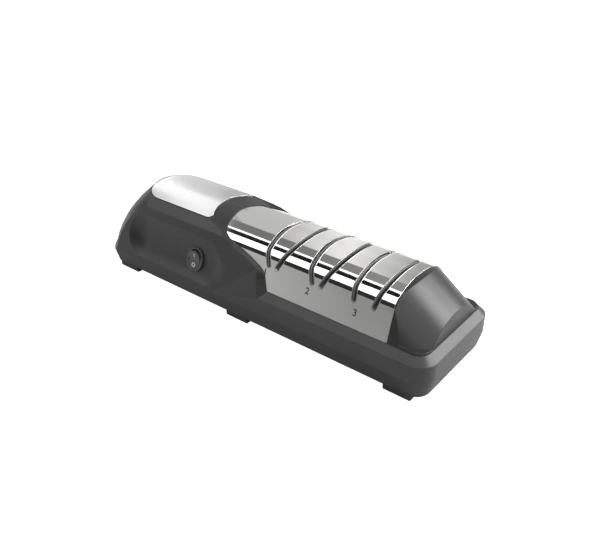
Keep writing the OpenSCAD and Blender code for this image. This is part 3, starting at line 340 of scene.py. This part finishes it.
def grain_group():
    """Fine moulded grain with slow drifts of sheen."""
    name = "Moulded grain"
    if name in bpy.data.node_groups:
        return bpy.data.node_groups[name]
    tree, given, made = group_base(
        name,
        [("Size", "NodeSocketFloat", 0.0007), ("Roughness", "NodeSocketFloat", 0.4),
         ("Spread", "NodeSocketFloat", 0.08)],
        ["Height", "Roughness", "Drift"],
    )
    scale = maths(tree, "DIVIDE", 1.0, given.outputs["Size"])
    fine = noise(tree, given.outputs["Vector"], scale, detail=3)
    slow = noise(tree, given.outputs["Vector"], 26)
    spread = given.outputs["Spread"]
    offset = maths(tree, "ADD", centred(tree, fine.outputs[0], spread),
                   centred(tree, slow.outputs[0], spread))
    rough = maths(tree, "ADD", given.outputs["Roughness"], offset)
    link(tree, fine.outputs[0], made.inputs["Height"])
    link(tree, rough, made.inputs["Roughness"])
    link(tree, slow.outputs[0], made.inputs["Drift"])
    return tree


def brushed_group():
    """Straight brushing lines along one direction."""
    name = "Brushed lines"
    if name in bpy.data.node_groups:
        return bpy.data.node_groups[name]
    tree, given, made = group_base(
        name,
        [("Stretch", "NodeSocketVector", (40, 1600, 1600)),
         ("Roughness", "NodeSocketFloat", 0.3), ("Spread", "NodeSocketFloat", 0.15)],
        ["Height", "Roughness", "Streak"],
    )
    scaled = add(tree, "ShaderNodeVectorMath", operation="MULTIPLY")
    link(tree, given.outputs["Vector"], scaled.inputs[0])
    link(tree, given.outputs["Stretch"], scaled.inputs[1])
    lines = noise(tree, scaled.outputs[0], 1, detail=4)
    lines.inputs["Roughness"].default_value = 0.6
    offset = centred(tree, lines.outputs[0], given.outputs["Spread"])
    link(tree, lines.outputs[0], made.inputs["Height"])
    link(tree, maths(tree, "ADD", given.outputs["Roughness"], offset), made.inputs["Roughness"])
    link(tree, lines.outputs[0], made.inputs["Streak"])
    return tree


def dust_group():
    """Faint smudges and dust from handling, thicker in patches."""
    name = "Handling marks"
    if name in bpy.data.node_groups:
        return bpy.data.node_groups[name]
    tree, given, made = group_base(
        name,
        [("Patch", "NodeSocketFloat", 45.0), ("Amount", "NodeSocketFloat", 0.2)],
        ["Mask"],
    )
    patches = noise(tree, given.outputs["Vector"], given.outputs["Patch"], detail=5)
    specks = noise(tree, given.outputs["Vector"], 900)
    narrowed = add(tree, "ShaderNodeMapRange")
    link(tree, patches.outputs[0], narrowed.inputs["Value"])
    narrowed.inputs["From Min"].default_value = 0.45
    narrowed.inputs["From Max"].default_value = 0.75
    speckled = maths(tree, "MULTIPLY", narrowed.outputs[0], specks.outputs[0])
    link(tree, maths(tree, "MULTIPLY", speckled, given.outputs["Amount"]), made.inputs["Mask"])
    return tree


def use_group(tree, group, **values):
    node = add(tree, "ShaderNodeGroup", node_tree=group)
    for key, value in values.items():
        feed(tree, value, node.inputs[key])
    return node


# materials

def blank_material(name):
    material = bpy.data.materials.new(name)
    material.use_nodes = True
    tree = material.node_tree
    tree.nodes.clear()
    shader = add(tree, "ShaderNodeBsdfPrincipled")
    link(tree, shader.outputs[0], add(tree, "ShaderNodeOutputMaterial").inputs["Surface"])
    place = add(tree, "ShaderNodeTexCoord").outputs["Object"]
    return material, tree, shader, place


def bump_into(tree, shader, height, strength, depth, edge=0.0):
    bump = add(tree, "ShaderNodeBump")
    bump.inputs["Strength"].default_value = strength
    bump.inputs["Distance"].default_value = depth
    link(tree, height, bump.inputs["Height"])
    if edge > 0:
        soft = add(tree, "ShaderNodeBevel", samples=4)
        soft.inputs["Radius"].default_value = edge
        link(tree, soft.outputs[0], bump.inputs["Normal"])
    link(tree, bump.outputs[0], shader.inputs["Normal"])


def tinted(base, share_of_base, lift=0.0):
    """A colour scaled and lifted, and held to one."""
    return tuple(min(1.0, c * share_of_base + lift) for c in base)


def moulded(name, base, rough, size, spread=0.08, edge=0.0, strength=0.18, dust=0.12,
            specular=0.5):
    """A moulded plastic: fine grain, slow drift of sheen and a trace of dust."""
    material, tree, shader, place = blank_material(name)
    grain = use_group(tree, grain_group(), Vector=place, Size=size, Roughness=rough,
                      Spread=spread)
    marks = use_group(tree, dust_group(), Vector=place, Patch=38.0, Amount=dust)
    toned = blend_colours(tree, tuple(base), tinted(base, 1.18, 0.002), grain.outputs["Drift"])
    dusty = blend_colours(tree, toned, PLASTIC_DUST, marks.outputs["Mask"])
    link(tree, dusty, shader.inputs["Base Color"])
    link(tree, grain.outputs["Roughness"], shader.inputs["Roughness"])
    shader.inputs["Specular IOR Level"].default_value = specular
    bump_into(tree, shader, grain.outputs["Height"], strength, GRAIN_DEPTH, edge)
    return material


def metal(name, base, rough, stretch, spread=0.12, strength=0.12, edge=0.0, tint=0.9):
    """A metal with brushing or turning lines along its stretch."""
    material, tree, shader, place = blank_material(name)
    lines = use_group(tree, brushed_group(), Vector=place, Stretch=stretch, Roughness=rough,
                      Spread=spread)
    marks = use_group(tree, dust_group(), Vector=place, Patch=60.0, Amount=0.05)
    toned = blend_colours(tree, tinted(base, tint), tuple(base), lines.outputs["Streak"])
    dusty = blend_colours(tree, toned, METAL_DUST, marks.outputs["Mask"])
    link(tree, dusty, shader.inputs["Base Color"])
    link(tree, lines.outputs["Roughness"], shader.inputs["Roughness"])
    shader.inputs["Metallic"].default_value = 1.0
    bump_into(tree, shader, lines.outputs["Height"], strength, BRUSH_DEPTH, edge)
    return material


def cover_steel(bright):
    """Stage cover: brushed lengthwise on its sides, polished over the bend and the crown."""
    material, tree, shader, place = blank_material("cover_steel")
    height = add(tree, "ShaderNodeSeparateXYZ")
    link(tree, place, height.inputs[0])
    band = add(tree, "ShaderNodeMapRange", interpolation_type="SMOOTHSTEP")
    link(tree, height.outputs["Z"], band.inputs["Value"])
    band.inputs["From Min"].default_value = bright.bend_height - BEND_BLEND
    band.inputs["From Max"].default_value = bright.bend_height + BEND_BLEND
    polished = band.outputs["Result"]
    lines = use_group(tree, brushed_group(), Vector=place, Stretch=(26.0, 1900.0, 1900.0),
                      Roughness=bright.brushing, Spread=0.16)
    hair = use_group(tree, brushed_group(), Vector=place, Stretch=(60.0, 900.0, 900.0),
                     Roughness=bright.polish, Spread=0.05)
    marks = use_group(tree, dust_group(), Vector=place, Patch=70.0, Amount=0.07)
    rough = blend_values(tree, lines.outputs["Roughness"], hair.outputs["Roughness"], polished)
    base = tuple(bright.cover)
    sides = blend_colours(tree, tinted(base, 0.84), base, lines.outputs["Streak"])
    toned = blend_colours(tree, sides, tinted(base, 1.16), polished)
    dusty = blend_colours(tree, toned, COVER_DUST, marks.outputs["Mask"])
    link(tree, dusty, shader.inputs["Base Color"])
    link(tree, rough, shader.inputs["Roughness"])
    shader.inputs["Metallic"].default_value = 1.0
    matt = maths(tree, "SUBTRACT", 1.0, maths(tree, "MULTIPLY", polished, 0.93))
    lines_on_sides = maths(tree, "MULTIPLY", lines.outputs["Height"], matt)
    bump_into(tree, shader, lines_on_sides, 0.22, BRUSH_DEPTH, COVER_EDGE)
    return material


def grit_steel(name, base, grain, rough):
    """A grinding face: dense fine grit bonded to a steel disc, each grain with a painted glint
    in its middle and painted shade towards its edge.
    """
    material, tree, shader, place = blank_material(name)
    cells = add(tree, "ShaderNodeTexVoronoi")
    link(tree, place, cells.inputs["Vector"])
    cells.inputs["Scale"].default_value = 1 / grain
    grit = use_group(tree, grain_group(), Vector=place, Size=grain, Roughness=rough, Spread=0.2)
    # painted glint and shade: each grit cell is painted lighter in its middle and darker towards
    # its edge
    painted_glint_and_shade = add(tree, "ShaderNodeMapRange")
    link(tree, cells.outputs["Distance"], painted_glint_and_shade.inputs["Value"])
    painted_glint_and_shade.inputs["From Max"].default_value = 0.5
    toned = blend_colours(tree, tinted(base, 1.5), tinted(base, 0.6), painted_glint_and_shade.outputs["Result"])
    link(tree, toned, shader.inputs["Base Color"])
    link(tree, grit.outputs["Roughness"], shader.inputs["Roughness"])
    shader.inputs["Metallic"].default_value = 0.75
    bump_into(tree, shader, cells.outputs["Distance"], 0.5, GRIT_DEPTH)
    return material


def ink(name, base):
    """Printed ink, slightly uneven."""
    return moulded(name, base, 0.45, 0.0004, spread=0.1, dust=0.02, strength=0.1)


def coat(material, *names):
    for name in names:
        node = NODES[name]
        if not node.material_slots:
            node.data.materials.append(material)
        for slot in node.material_slots:
            slot.material = material


# pieces

def show(name, data):
    thing = bpy.data.objects.new(name, data)
    bpy.context.scene.collection.objects.link(thing)
    return thing


def curve_mesh(name, curve, material):
    """The finished mesh of a curve."""
    made = show(name + "_line", curve)
    bpy.context.view_layer.update()
    settled = made.evaluated_get(bpy.context.evaluated_depsgraph_get())
    mesh = bpy.data.meshes.new_from_object(settled)
    bpy.data.objects.remove(made)
    mesh.name = name
    mesh.materials.clear()
    mesh.materials.append(material)
    return mesh


def print_mark(name, text, height, centre, up, material, body, weight):
    """A flat printed glyph that reads along x, lies on a face, and rides on a body."""
    curve = bpy.data.curves.new(name, "FONT")
    curve.body = text
    curve.align_x = "CENTER"
    curve.align_y = "CENTER"
    curve.size = height / CAPITAL_SHARE
    curve.extrude = INK_DEPTH
    curve.offset = height * weight
    mesh = curve_mesh(name, curve, material)
    ys = [v.co.y for v in mesh.vertices]
    mesh.transform(Matrix.Translation((0, -(min(ys) + max(ys)) / 2, 0)))
    across, along = Vector((1, 0, 0)), Vector(up).normalized()
    out = across.cross(along)
    turn = Matrix((across, along, out)).transposed().to_4x4()
    mesh.transform(Matrix.Translation(Vector(centre) + out * INK_DEPTH) @ turn)
    piece = show(name, mesh)
    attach(piece, body)


def cover_profile(section_x):
    """The cover's outer line across its width, front first, from the solid itself."""
    cover = NODES["stage_cover"]
    away = cover.matrix_world.inverted()
    found = []
    for step in range(-PROFILE_REACH, PROFILE_REACH + 1):
        start = away @ Vector((section_x, step * PROFILE_PITCH, ABOVE_ALL))
        hit, spot, _, _ = cover.ray_cast(start, Vector((0, 0, -1)))
        if hit:
            spot = cover.matrix_world @ spot
            found.append((spot.y, spot.z))
    if not found:
        raise RuntimeError("the cover has no surface at x = %g" % section_x)
    return found


def slot_loop(profile, foot_x, foot_z, width, tilt):
    """The closed edge of one leaning, round-ended slot on the cover's surface."""
    half = width / 2
    sine, cosine = math.sin(tilt), math.cos(tilt)
    front = [point for point in profile if point[0] <= 0]

    def across(z):
        for low, high in zip(front, front[1:]):
            if low[1] <= z <= high[1]:
                return low[0] + (high[0] - low[0]) * (z - low[1]) / (high[1] - low[1])
        return front[0][0]

    def edge(side):
        points = []
        for y, z in profile:
            along = (z - foot_z - side * half * sine) / cosine
            if along > half:
                points.append((foot_x + side * half * cosine - along * sine, y, z))
        return points

    def end(sign):
        points = []
        for step in range(1, SLOT_ARC_STEPS):
            turn = math.pi * (step / SLOT_ARC_STEPS - 0.5)
            a, b = half * math.sin(turn), half * (1 - math.cos(turn))
            z = foot_z + a * sine + b * cosine
            points.append((foot_x + a * cosine - b * sine, sign * across(z), z))
        return points

    return edge(1) + end(-1)[::-1] + edge(-1)[::-1] + end(1)


def round_bead(name, points, radius, material, body):
    """A closed bead of round wire that rides on a body."""
    curve = bpy.data.curves.new(name, "CURVE")
    curve.dimensions = "3D"
    curve.bevel_depth = radius
    curve.bevel_resolution = 1
    line = curve.splines.new("POLY")
    line.points.add(len(points) - 1)
    for place, point in zip(line.points, points):
        place.co = (*point, 1)
    line.use_cyclic_u = True
    mesh = curve_mesh(name, curve, material)
    mesh.shade_smooth()
    piece = show(name, mesh)
    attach(piece, body)


def half_spring(node, letter):
    """Half of a disc spring, cut at its middle, which rides on the spindle."""
    low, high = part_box(node)
    middle, half = (low[0] + high[0]) / 2, (high[0] - low[0]) / 2
    cut = bmesh.new()
    cut.from_mesh(NODES[node].data)
    parts = bmesh.ops.bisect_plane(
        cut, geom=cut.verts[:] + cut.edges[:] + cut.faces[:], plane_co=(middle, 0, 0),
        plane_no=(1, 0, 0), clear_outer=letter == "a", clear_inner=letter == "b",
    )
    rim = [part for part in parts["geom_cut"] if isinstance(part, bmesh.types.BMEdge)]
    bmesh.ops.holes_fill(cut, edges=rim)
    name = "%s_%s" % (node, {"a": "left", "b": "right"}[letter])
    mesh = bpy.data.meshes.new(name)
    cut.to_mesh(mesh)
    cut.free()
    for slot in NODES[node].material_slots:
        mesh.materials.append(slot.material)
    piece = show(name, mesh)
    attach(piece, "spindle")
    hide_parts(node)
    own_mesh(piece)


# operators

class SHARPENER_OT_mouldings(bpy.types.Operator):
    """Finish the housing, tray, end cap, pads and cord inlet"""
    bl_idname = "sharpener.mouldings"
    bl_label = "Finish mouldings"

    def execute(self, context):
        body = context.scene.sharpener_body
        coat(moulded("housing_moulding", body.housing, body.sheen, body.grain_size,
                     edge=body.edge, specular=0.32, dust=0.05), "upper_housing", "end_cap")
        coat(moulded("tray_moulding", body.tray, body.sheen + 0.08, body.grain_size,
                     edge=body.edge, specular=0.28, dust=0.05), "base_tray")
        coat(moulded("pad_rubber", body.pads, 0.75, 0.0005, spread=0.12, strength=0.3,
                     dust=0.3), "foot_pads")
        coat(moulded("inlet_rubber", body.pads, 0.5, 0.0006, edge=0.0004), "cord_grommet")
        return {"FINISHED"}


class SHARPENER_OT_brightwork(bpy.types.Operator):
    """Finish the stage cover with its slot beads, and the crown plate"""
    bl_idname = "sharpener.brightwork"
    bl_label = "Finish bright metal"

    def execute(self, context):
        bright = context.scene.sharpener_bright
        coat(cover_steel(bright), "stage_cover")
        coat(metal("crown_steel", bright.crown, 0.2, (30.0, 1500.0, 1500.0), spread=0.08,
                   strength=0.1, edge=0.0003, tint=0.93), "top_plate")
        bead = metal("slot_bead", (0.34, 0.34, 0.33), 0.28, (200.0, 200.0, 200.0),
                     spread=0.04, strength=0.0)
        profile = cover_profile(PLAIN_SECTION)
        for stage, (middle, gap, tilt) in enumerate(STAGE_SLOTS, 1):
            for side, letter in ((-1, "a"), (1, "b")):
                loop = slot_loop(profile, (middle + side * gap / 2) * MM, SLOT_FOOT,
                                 bright.slot_width, math.radians(-side * tilt))
                round_bead("slot_bead_%d%s" % (stage, letter), loop, bright.bead, bead, "base")
        return {"FINISHED"}


class SHARPENER_OT_switch(bpy.types.Operator):
    """Finish the rocker switch and print its on and off marks"""
    bl_idname = "sharpener.switch"
    bl_label = "Finish switch"

    def execute(self, context):
        switch = context.scene.sharpener_switch
        coat(moulded("switch_moulding", switch.body, 0.28, 0.0005, edge=0.0005, strength=0.1),
             "switch_case")
        coat(moulded("rocker_moulding", switch.body, 0.22, 0.0005, edge=0.0005, strength=0.08),
             "rocker")
        coat(metal("tab_brass", (0.70, 0.53, 0.27), 0.3, (900.0, 60.0, 900.0)),
             "switch_terminals")
        mark = ink("switch_ink", switch.ink)
        joint = next(j for j in frame["joints"] if j["name"] == "rocker_tip")
        pivot = Vector(joint["pos_m"])
        turn = Matrix.Rotation(switch.turn, 3, "X")
        back, reach = ROCKER_SLOPE
        for name, text, side in SWITCH_MARKS:
            slope = Vector((0, -back, side * reach)).normalized()
            middle = Vector((0, -ROCKER_MIDDLE, 0)) + slope * MARK_PLACE
            print_mark(name, text, switch.mark_height, pivot + turn @ middle,
                       turn @ (slope * side), mark, "rocker", 0.0)
        return {"FINISHED"}


class SHARPENER_OT_stages(bpy.types.Operator):
    """Finish the guides, discs and springs, and print the stage numbers"""
    bl_idname = "sharpener.stages"
    bl_label = "Finish stages"

    def execute(self, context):
        stages = context.scene.sharpener_stages
        lean = context.scene.sharpener_bright.lean
        coat(moulded("guide_moulding", stages.guide, 0.5, 0.0006), "guide_1", "guide_2",
             "guide_3")
        coat(grit_steel("coarse_grit", stages.grit, 0.00035, 0.45), "disc_1a", "disc_1b")
        coat(grit_steel("fine_grit", tinted(stages.grit, 1.1), 0.0002, 0.4), "disc_2a",
             "disc_2b")
        coat(moulded("polishing_compound", stages.polishing, 0.7, 0.0004, strength=0.4),
             "disc_3a", "disc_3b")
        coat(metal("spring_steel", (0.5, 0.5, 0.51), 0.3, EVEN),
             "disc_spring_1", "disc_spring_2", "disc_spring_3", "stop_rings")
        for stage in (1, 2, 3):
            for letter in "ab":
                half_spring("disc_spring_%d" % stage, letter)
        coat(moulded("sintered_magnet", MAGNET, 0.5, 0.0003, strength=0.3), "filings_magnets")
        mark = ink("number_ink", stages.ink)
        up = Vector((0, math.sin(lean), math.cos(lean)))
        for name, text, (x, z) in STAGE_MARKS:
            y = -(SIDE_FOOT[0] - math.tan(lean) * (z - SIDE_FOOT[1]))
            print_mark(name, text, stages.number_height, Vector((x, y, z)) * MM, up, mark,
                       "base", 0.03)
        return {"FINISHED"}


class SHARPENER_OT_drive(bpy.types.Operator):
    """Finish the motor, shafts, bearings, board and fasteners"""
    bl_idname = "sharpener.drive"
    bl_label = "Finish drive"

    def execute(self, context):
        drive = context.scene.sharpener_drive
        coat(metal("plated_steel", drive.steel, 0.34, (120.0, 500.0, 500.0), edge=0.0003),
             "motor_can", "motor_strap")
        coat(metal("ground_steel", drive.ground, 0.2, TURNED), "motor_shaft", "spindle")
        coat(metal("screw_steel", (0.46, 0.47, 0.48), 0.3, (500.0, 500.0, 80.0)),
             "base_screws", "strap_screws", "bearing_screws")
        coat(metal("stacked_steel", (0.28, 0.29, 0.30), 0.42, (2200.0, 30.0, 30.0), spread=0.3,
                   strength=0.5), "armature_core")
        coat(metal("enamelled_copper", drive.copper, 0.28, (60.0, 1400.0, 1400.0),
                   strength=0.6), "armature_windings")
        coat(metal("commutator_copper", drive.copper, 0.25, TURNED), "commutator")
        coat(metal("sintered_bronze", drive.bronze, 0.45, (400.0, 400.0, 400.0)),
             "motor_bushes", "spindle_bushes")
        coat(metal("turned_alloy", (0.55, 0.56, 0.58), 0.3, TURNED), "shaft_coupling")
        coat(moulded("magnet_ferrite", MAGNET, 0.5, 0.0003, strength=0.3), "motor_magnets")
        coat(moulded("brush_carbon", BLACK, 0.55, 0.0003), "motor_brushes")
        coat(moulded("bell_moulding", BLACK, 0.45, 0.0006), "motor_end_bell",
             "bearing_block_inner", "bearing_block_outer")
        coat(moulded("fan_moulding", drive.fan, 0.45, 0.0006), "cooling_fan")
        coat(moulded("board_laminate", drive.laminate, 0.35, 0.0008), "rectifier_board")
        coat(moulded("component_moulding", (0.05, 0.055, 0.07), 0.3, 0.0006), "board_parts")
        return {"FINISHED"}


# the studio

def floor_material(base, lift):
    """A plain matt floor, which the camera sees brighter than the light does."""
    material, tree, shader, place = blank_material("studio_floor")
    grain = use_group(tree, grain_group(), Vector=place, Size=0.004, Roughness=0.85,
                      Spread=0.05)
    tone = blend_colours(tree, tinted(base, 0.995), tuple(base), grain.outputs["Drift"])
    link(tree, tone, shader.inputs["Base Color"])
    link(tree, grain.outputs["Roughness"], shader.inputs["Roughness"])
    shader.inputs["Specular IOR Level"].default_value = 0.1
    shader.inputs["Emission Color"].default_value = (1, 1, 1, 1)
    seen = add(tree, "ShaderNodeLightPath").outputs["Is Camera Ray"]
    link(tree, maths(tree, "MULTIPLY", seen, lift), shader.inputs["Emission Strength"])
    return material


def card_material(name, levels, start, stop):
    """A glow whose level changes along x, between start and stop."""
    material = bpy.data.materials.new(name)
    material.use_nodes = True
    tree = material.node_tree
    tree.nodes.clear()
    glow = add(tree, "ShaderNodeEmission")
    along = add(tree, "ShaderNodeSeparateXYZ")
    link(tree, add(tree, "ShaderNodeTexCoord").outputs["Object"], along.inputs[0])
    fade = add(tree, "ShaderNodeMapRange")
    link(tree, along.outputs["X"], fade.inputs["Value"])
    for key, value in (("From Min", start), ("From Max", stop), ("To Min", levels[0]),
                       ("To Max", levels[1])):
        fade.inputs[key].default_value = value
    link(tree, fade.outputs["Result"], glow.inputs["Strength"])
    link(tree, glow.outputs[0], add(tree, "ShaderNodeOutputMaterial").inputs["Surface"])
    return material


def reflected_card(name, low, high, levels, run, distance):
    """A long card that only shows in reflections, between two angles up from the front."""
    material = card_material(name, levels, *run[2:])
    points = []
    for angle in (math.radians(low), math.radians(high)):
        for x in run[:2]:
            points.append((x, CENTRE[1] - math.cos(angle) * distance,
                           CENTRE[2] + math.sin(angle) * distance))
    mesh = bpy.data.meshes.new(name)
    mesh.from_pydata(points, [], [(0, 1, 3, 2)])
    mesh.materials.append(material)
    card = show(name, mesh)
    for flag in ("visible_camera", "visible_diffuse", "visible_shadow", "visible_transmission",
                 "visible_volume_scatter"):
        setattr(card, flag, False)


def area_light(name, watts, size, place, aim):
    lamp = bpy.data.lights.new(name, "AREA")
    lamp.shape = "RECTANGLE"
    lamp.size, lamp.size_y = size
    lamp.energy = watts
    holder = show(name, lamp)
    holder.location = place
    holder.rotation_mode = "QUATERNION"
    holder.rotation_quaternion = (Vector(aim) - Vector(place)).to_track_quat("-Z", "Y")
    holder.visible_camera = False


def lay_floor(studio):
    reach = FLOOR_REACH
    mesh = bpy.data.meshes.new("floor")
    corners = [(-reach, -reach, 0), (reach, -reach, 0), (reach, reach, 0), (-reach, reach, 0)]
    mesh.from_pydata(corners, [], [(0, 1, 2, 3)])
    mesh.materials.append(floor_material(studio.floor, studio.lift))
    floor = show("floor", mesh)


def light_room(studio, scene):
    """Soft light from all around, which the camera sees as plain white."""
    world = bpy.data.worlds.new("studio")
    world.use_nodes = True
    tree = world.node_tree
    background = tree.nodes["Background"]
    background.inputs["Color"].default_value = (1, 1, 1, 1)
    seen = add(tree, "ShaderNodeLightPath").outputs["Is Camera Ray"]
    link(tree, maths(tree, "MAXIMUM", seen, studio.surround), background.inputs["Strength"])
    scene.world = world


def hang_lights(studio):
    reach = studio.distance
    place = (0, CENTRE[1] - math.cos(SOFTBOX_ANGLE) * reach,
             CENTRE[2] + math.sin(SOFTBOX_ANGLE) * reach)
    area_light("front_softbox", studio.softbox,
               (SOFTBOX_LENGTH, 2 * reach * math.tan(SOFTBOX_SPREAD)), place, CENTRE)
    area_light("back_fill", studio.fill, (FILL_SIZE, FILL_SIZE), FILL_PLACE, CENTRE)
    for name, low, high, levels, run, share_of_reach in CARDS:
        reflected_card(name, low, high, levels, run, reach * share_of_reach)
    for name, setting, size, place, aim in SMALL_LIGHTS:
        area_light(name, getattr(studio, setting), (size, size), place, aim)


def set_camera(studio, scene):
    lens = bpy.data.cameras.new("camera")
    lens.sensor_width = 36
    lens.lens = studio.lens
    lens.clip_start = 0.01
    camera = show("camera", lens)
    camera.location = CAMERA_PLACE
    ahead = CAMERA_AHEAD.normalized()
    right = CAMERA_RIGHT.normalized()
    right = (right - ahead * right.dot(ahead)).normalized()
    turn = Matrix((right, right.cross(ahead), -ahead)).transposed()
    camera.rotation_mode = "QUATERNION"
    camera.rotation_quaternion = turn.to_quaternion()
    scene.camera = camera
    scene.view_settings.view_transform = "Standard"
    scene.view_settings.look = "None"
    scene.view_settings.exposure = studio.exposure


class SHARPENER_OT_studio(bpy.types.Operator):
    """Lay the pale floor, hang the soft lights and set the camera"""
    bl_idname = "sharpener.studio"
    bl_label = "Set the studio"

    def execute(self, context):
        studio = context.scene.sharpener_studio
        lay_floor(studio)
        light_room(studio, context.scene)
        hang_lights(studio)
        set_camera(studio, context.scene)
        return {"FINISHED"}


class SHARPENER_PT_panel(bpy.types.Panel):
    """Lists the sharpener's finishes and its studio"""
    bl_label = "Knife sharpener"
    bl_idname = "SHARPENER_PT_panel"
    bl_space_type = "VIEW_3D"
    bl_region_type = "UI"
    bl_category = "Sharpener"

    def draw(self, context):
        for group, operator in PARTS:
            box = self.layout.box()
            settings = getattr(context.scene, group)
            for key in settings.__annotations__:
                box.prop(settings, key)
            box.operator(operator)


PARTS = (
    ("sharpener_body", "sharpener.mouldings"),
    ("sharpener_bright", "sharpener.brightwork"),
    ("sharpener_switch", "sharpener.switch"),
    ("sharpener_stages", "sharpener.stages"),
    ("sharpener_drive", "sharpener.drive"),
    ("sharpener_studio", "sharpener.studio"),
)
GROUPS = {
    "sharpener_body": SHARPENER_PG_body,
    "sharpener_bright": SHARPENER_PG_bright,
    "sharpener_switch": SHARPENER_PG_switch,
    "sharpener_stages": SHARPENER_PG_stages,
    "sharpener_drive": SHARPENER_PG_drive,
    "sharpener_studio": SHARPENER_PG_studio,
}
CLASSES = (
    *GROUPS.values(),
    SHARPENER_OT_mouldings,
    SHARPENER_OT_brightwork,
    SHARPENER_OT_switch,
    SHARPENER_OT_stages,
    SHARPENER_OT_drive,
    SHARPENER_OT_studio,
    SHARPENER_PT_panel,
)


def register():
    for entry in CLASSES:
        bpy.utils.register_class(entry)
    for name, group in GROUPS.items():
        setattr(bpy.types.Scene, name, PointerProperty(type=group))


def unregister():
    for name in GROUPS:
        delattr(bpy.types.Scene, name)
    for entry in reversed(CLASSES):
        bpy.utils.unregister_class(entry)


def main():
    register()
    bpy.ops.sharpener.mouldings()
    bpy.ops.sharpener.brightwork()
    bpy.ops.sharpener.switch()
    bpy.ops.sharpener.stages()
    bpy.ops.sharpener.drive()
    bpy.ops.sharpener.studio()
    bpy.context.view_layer.update()


if __name__ == "__main__":
    main()
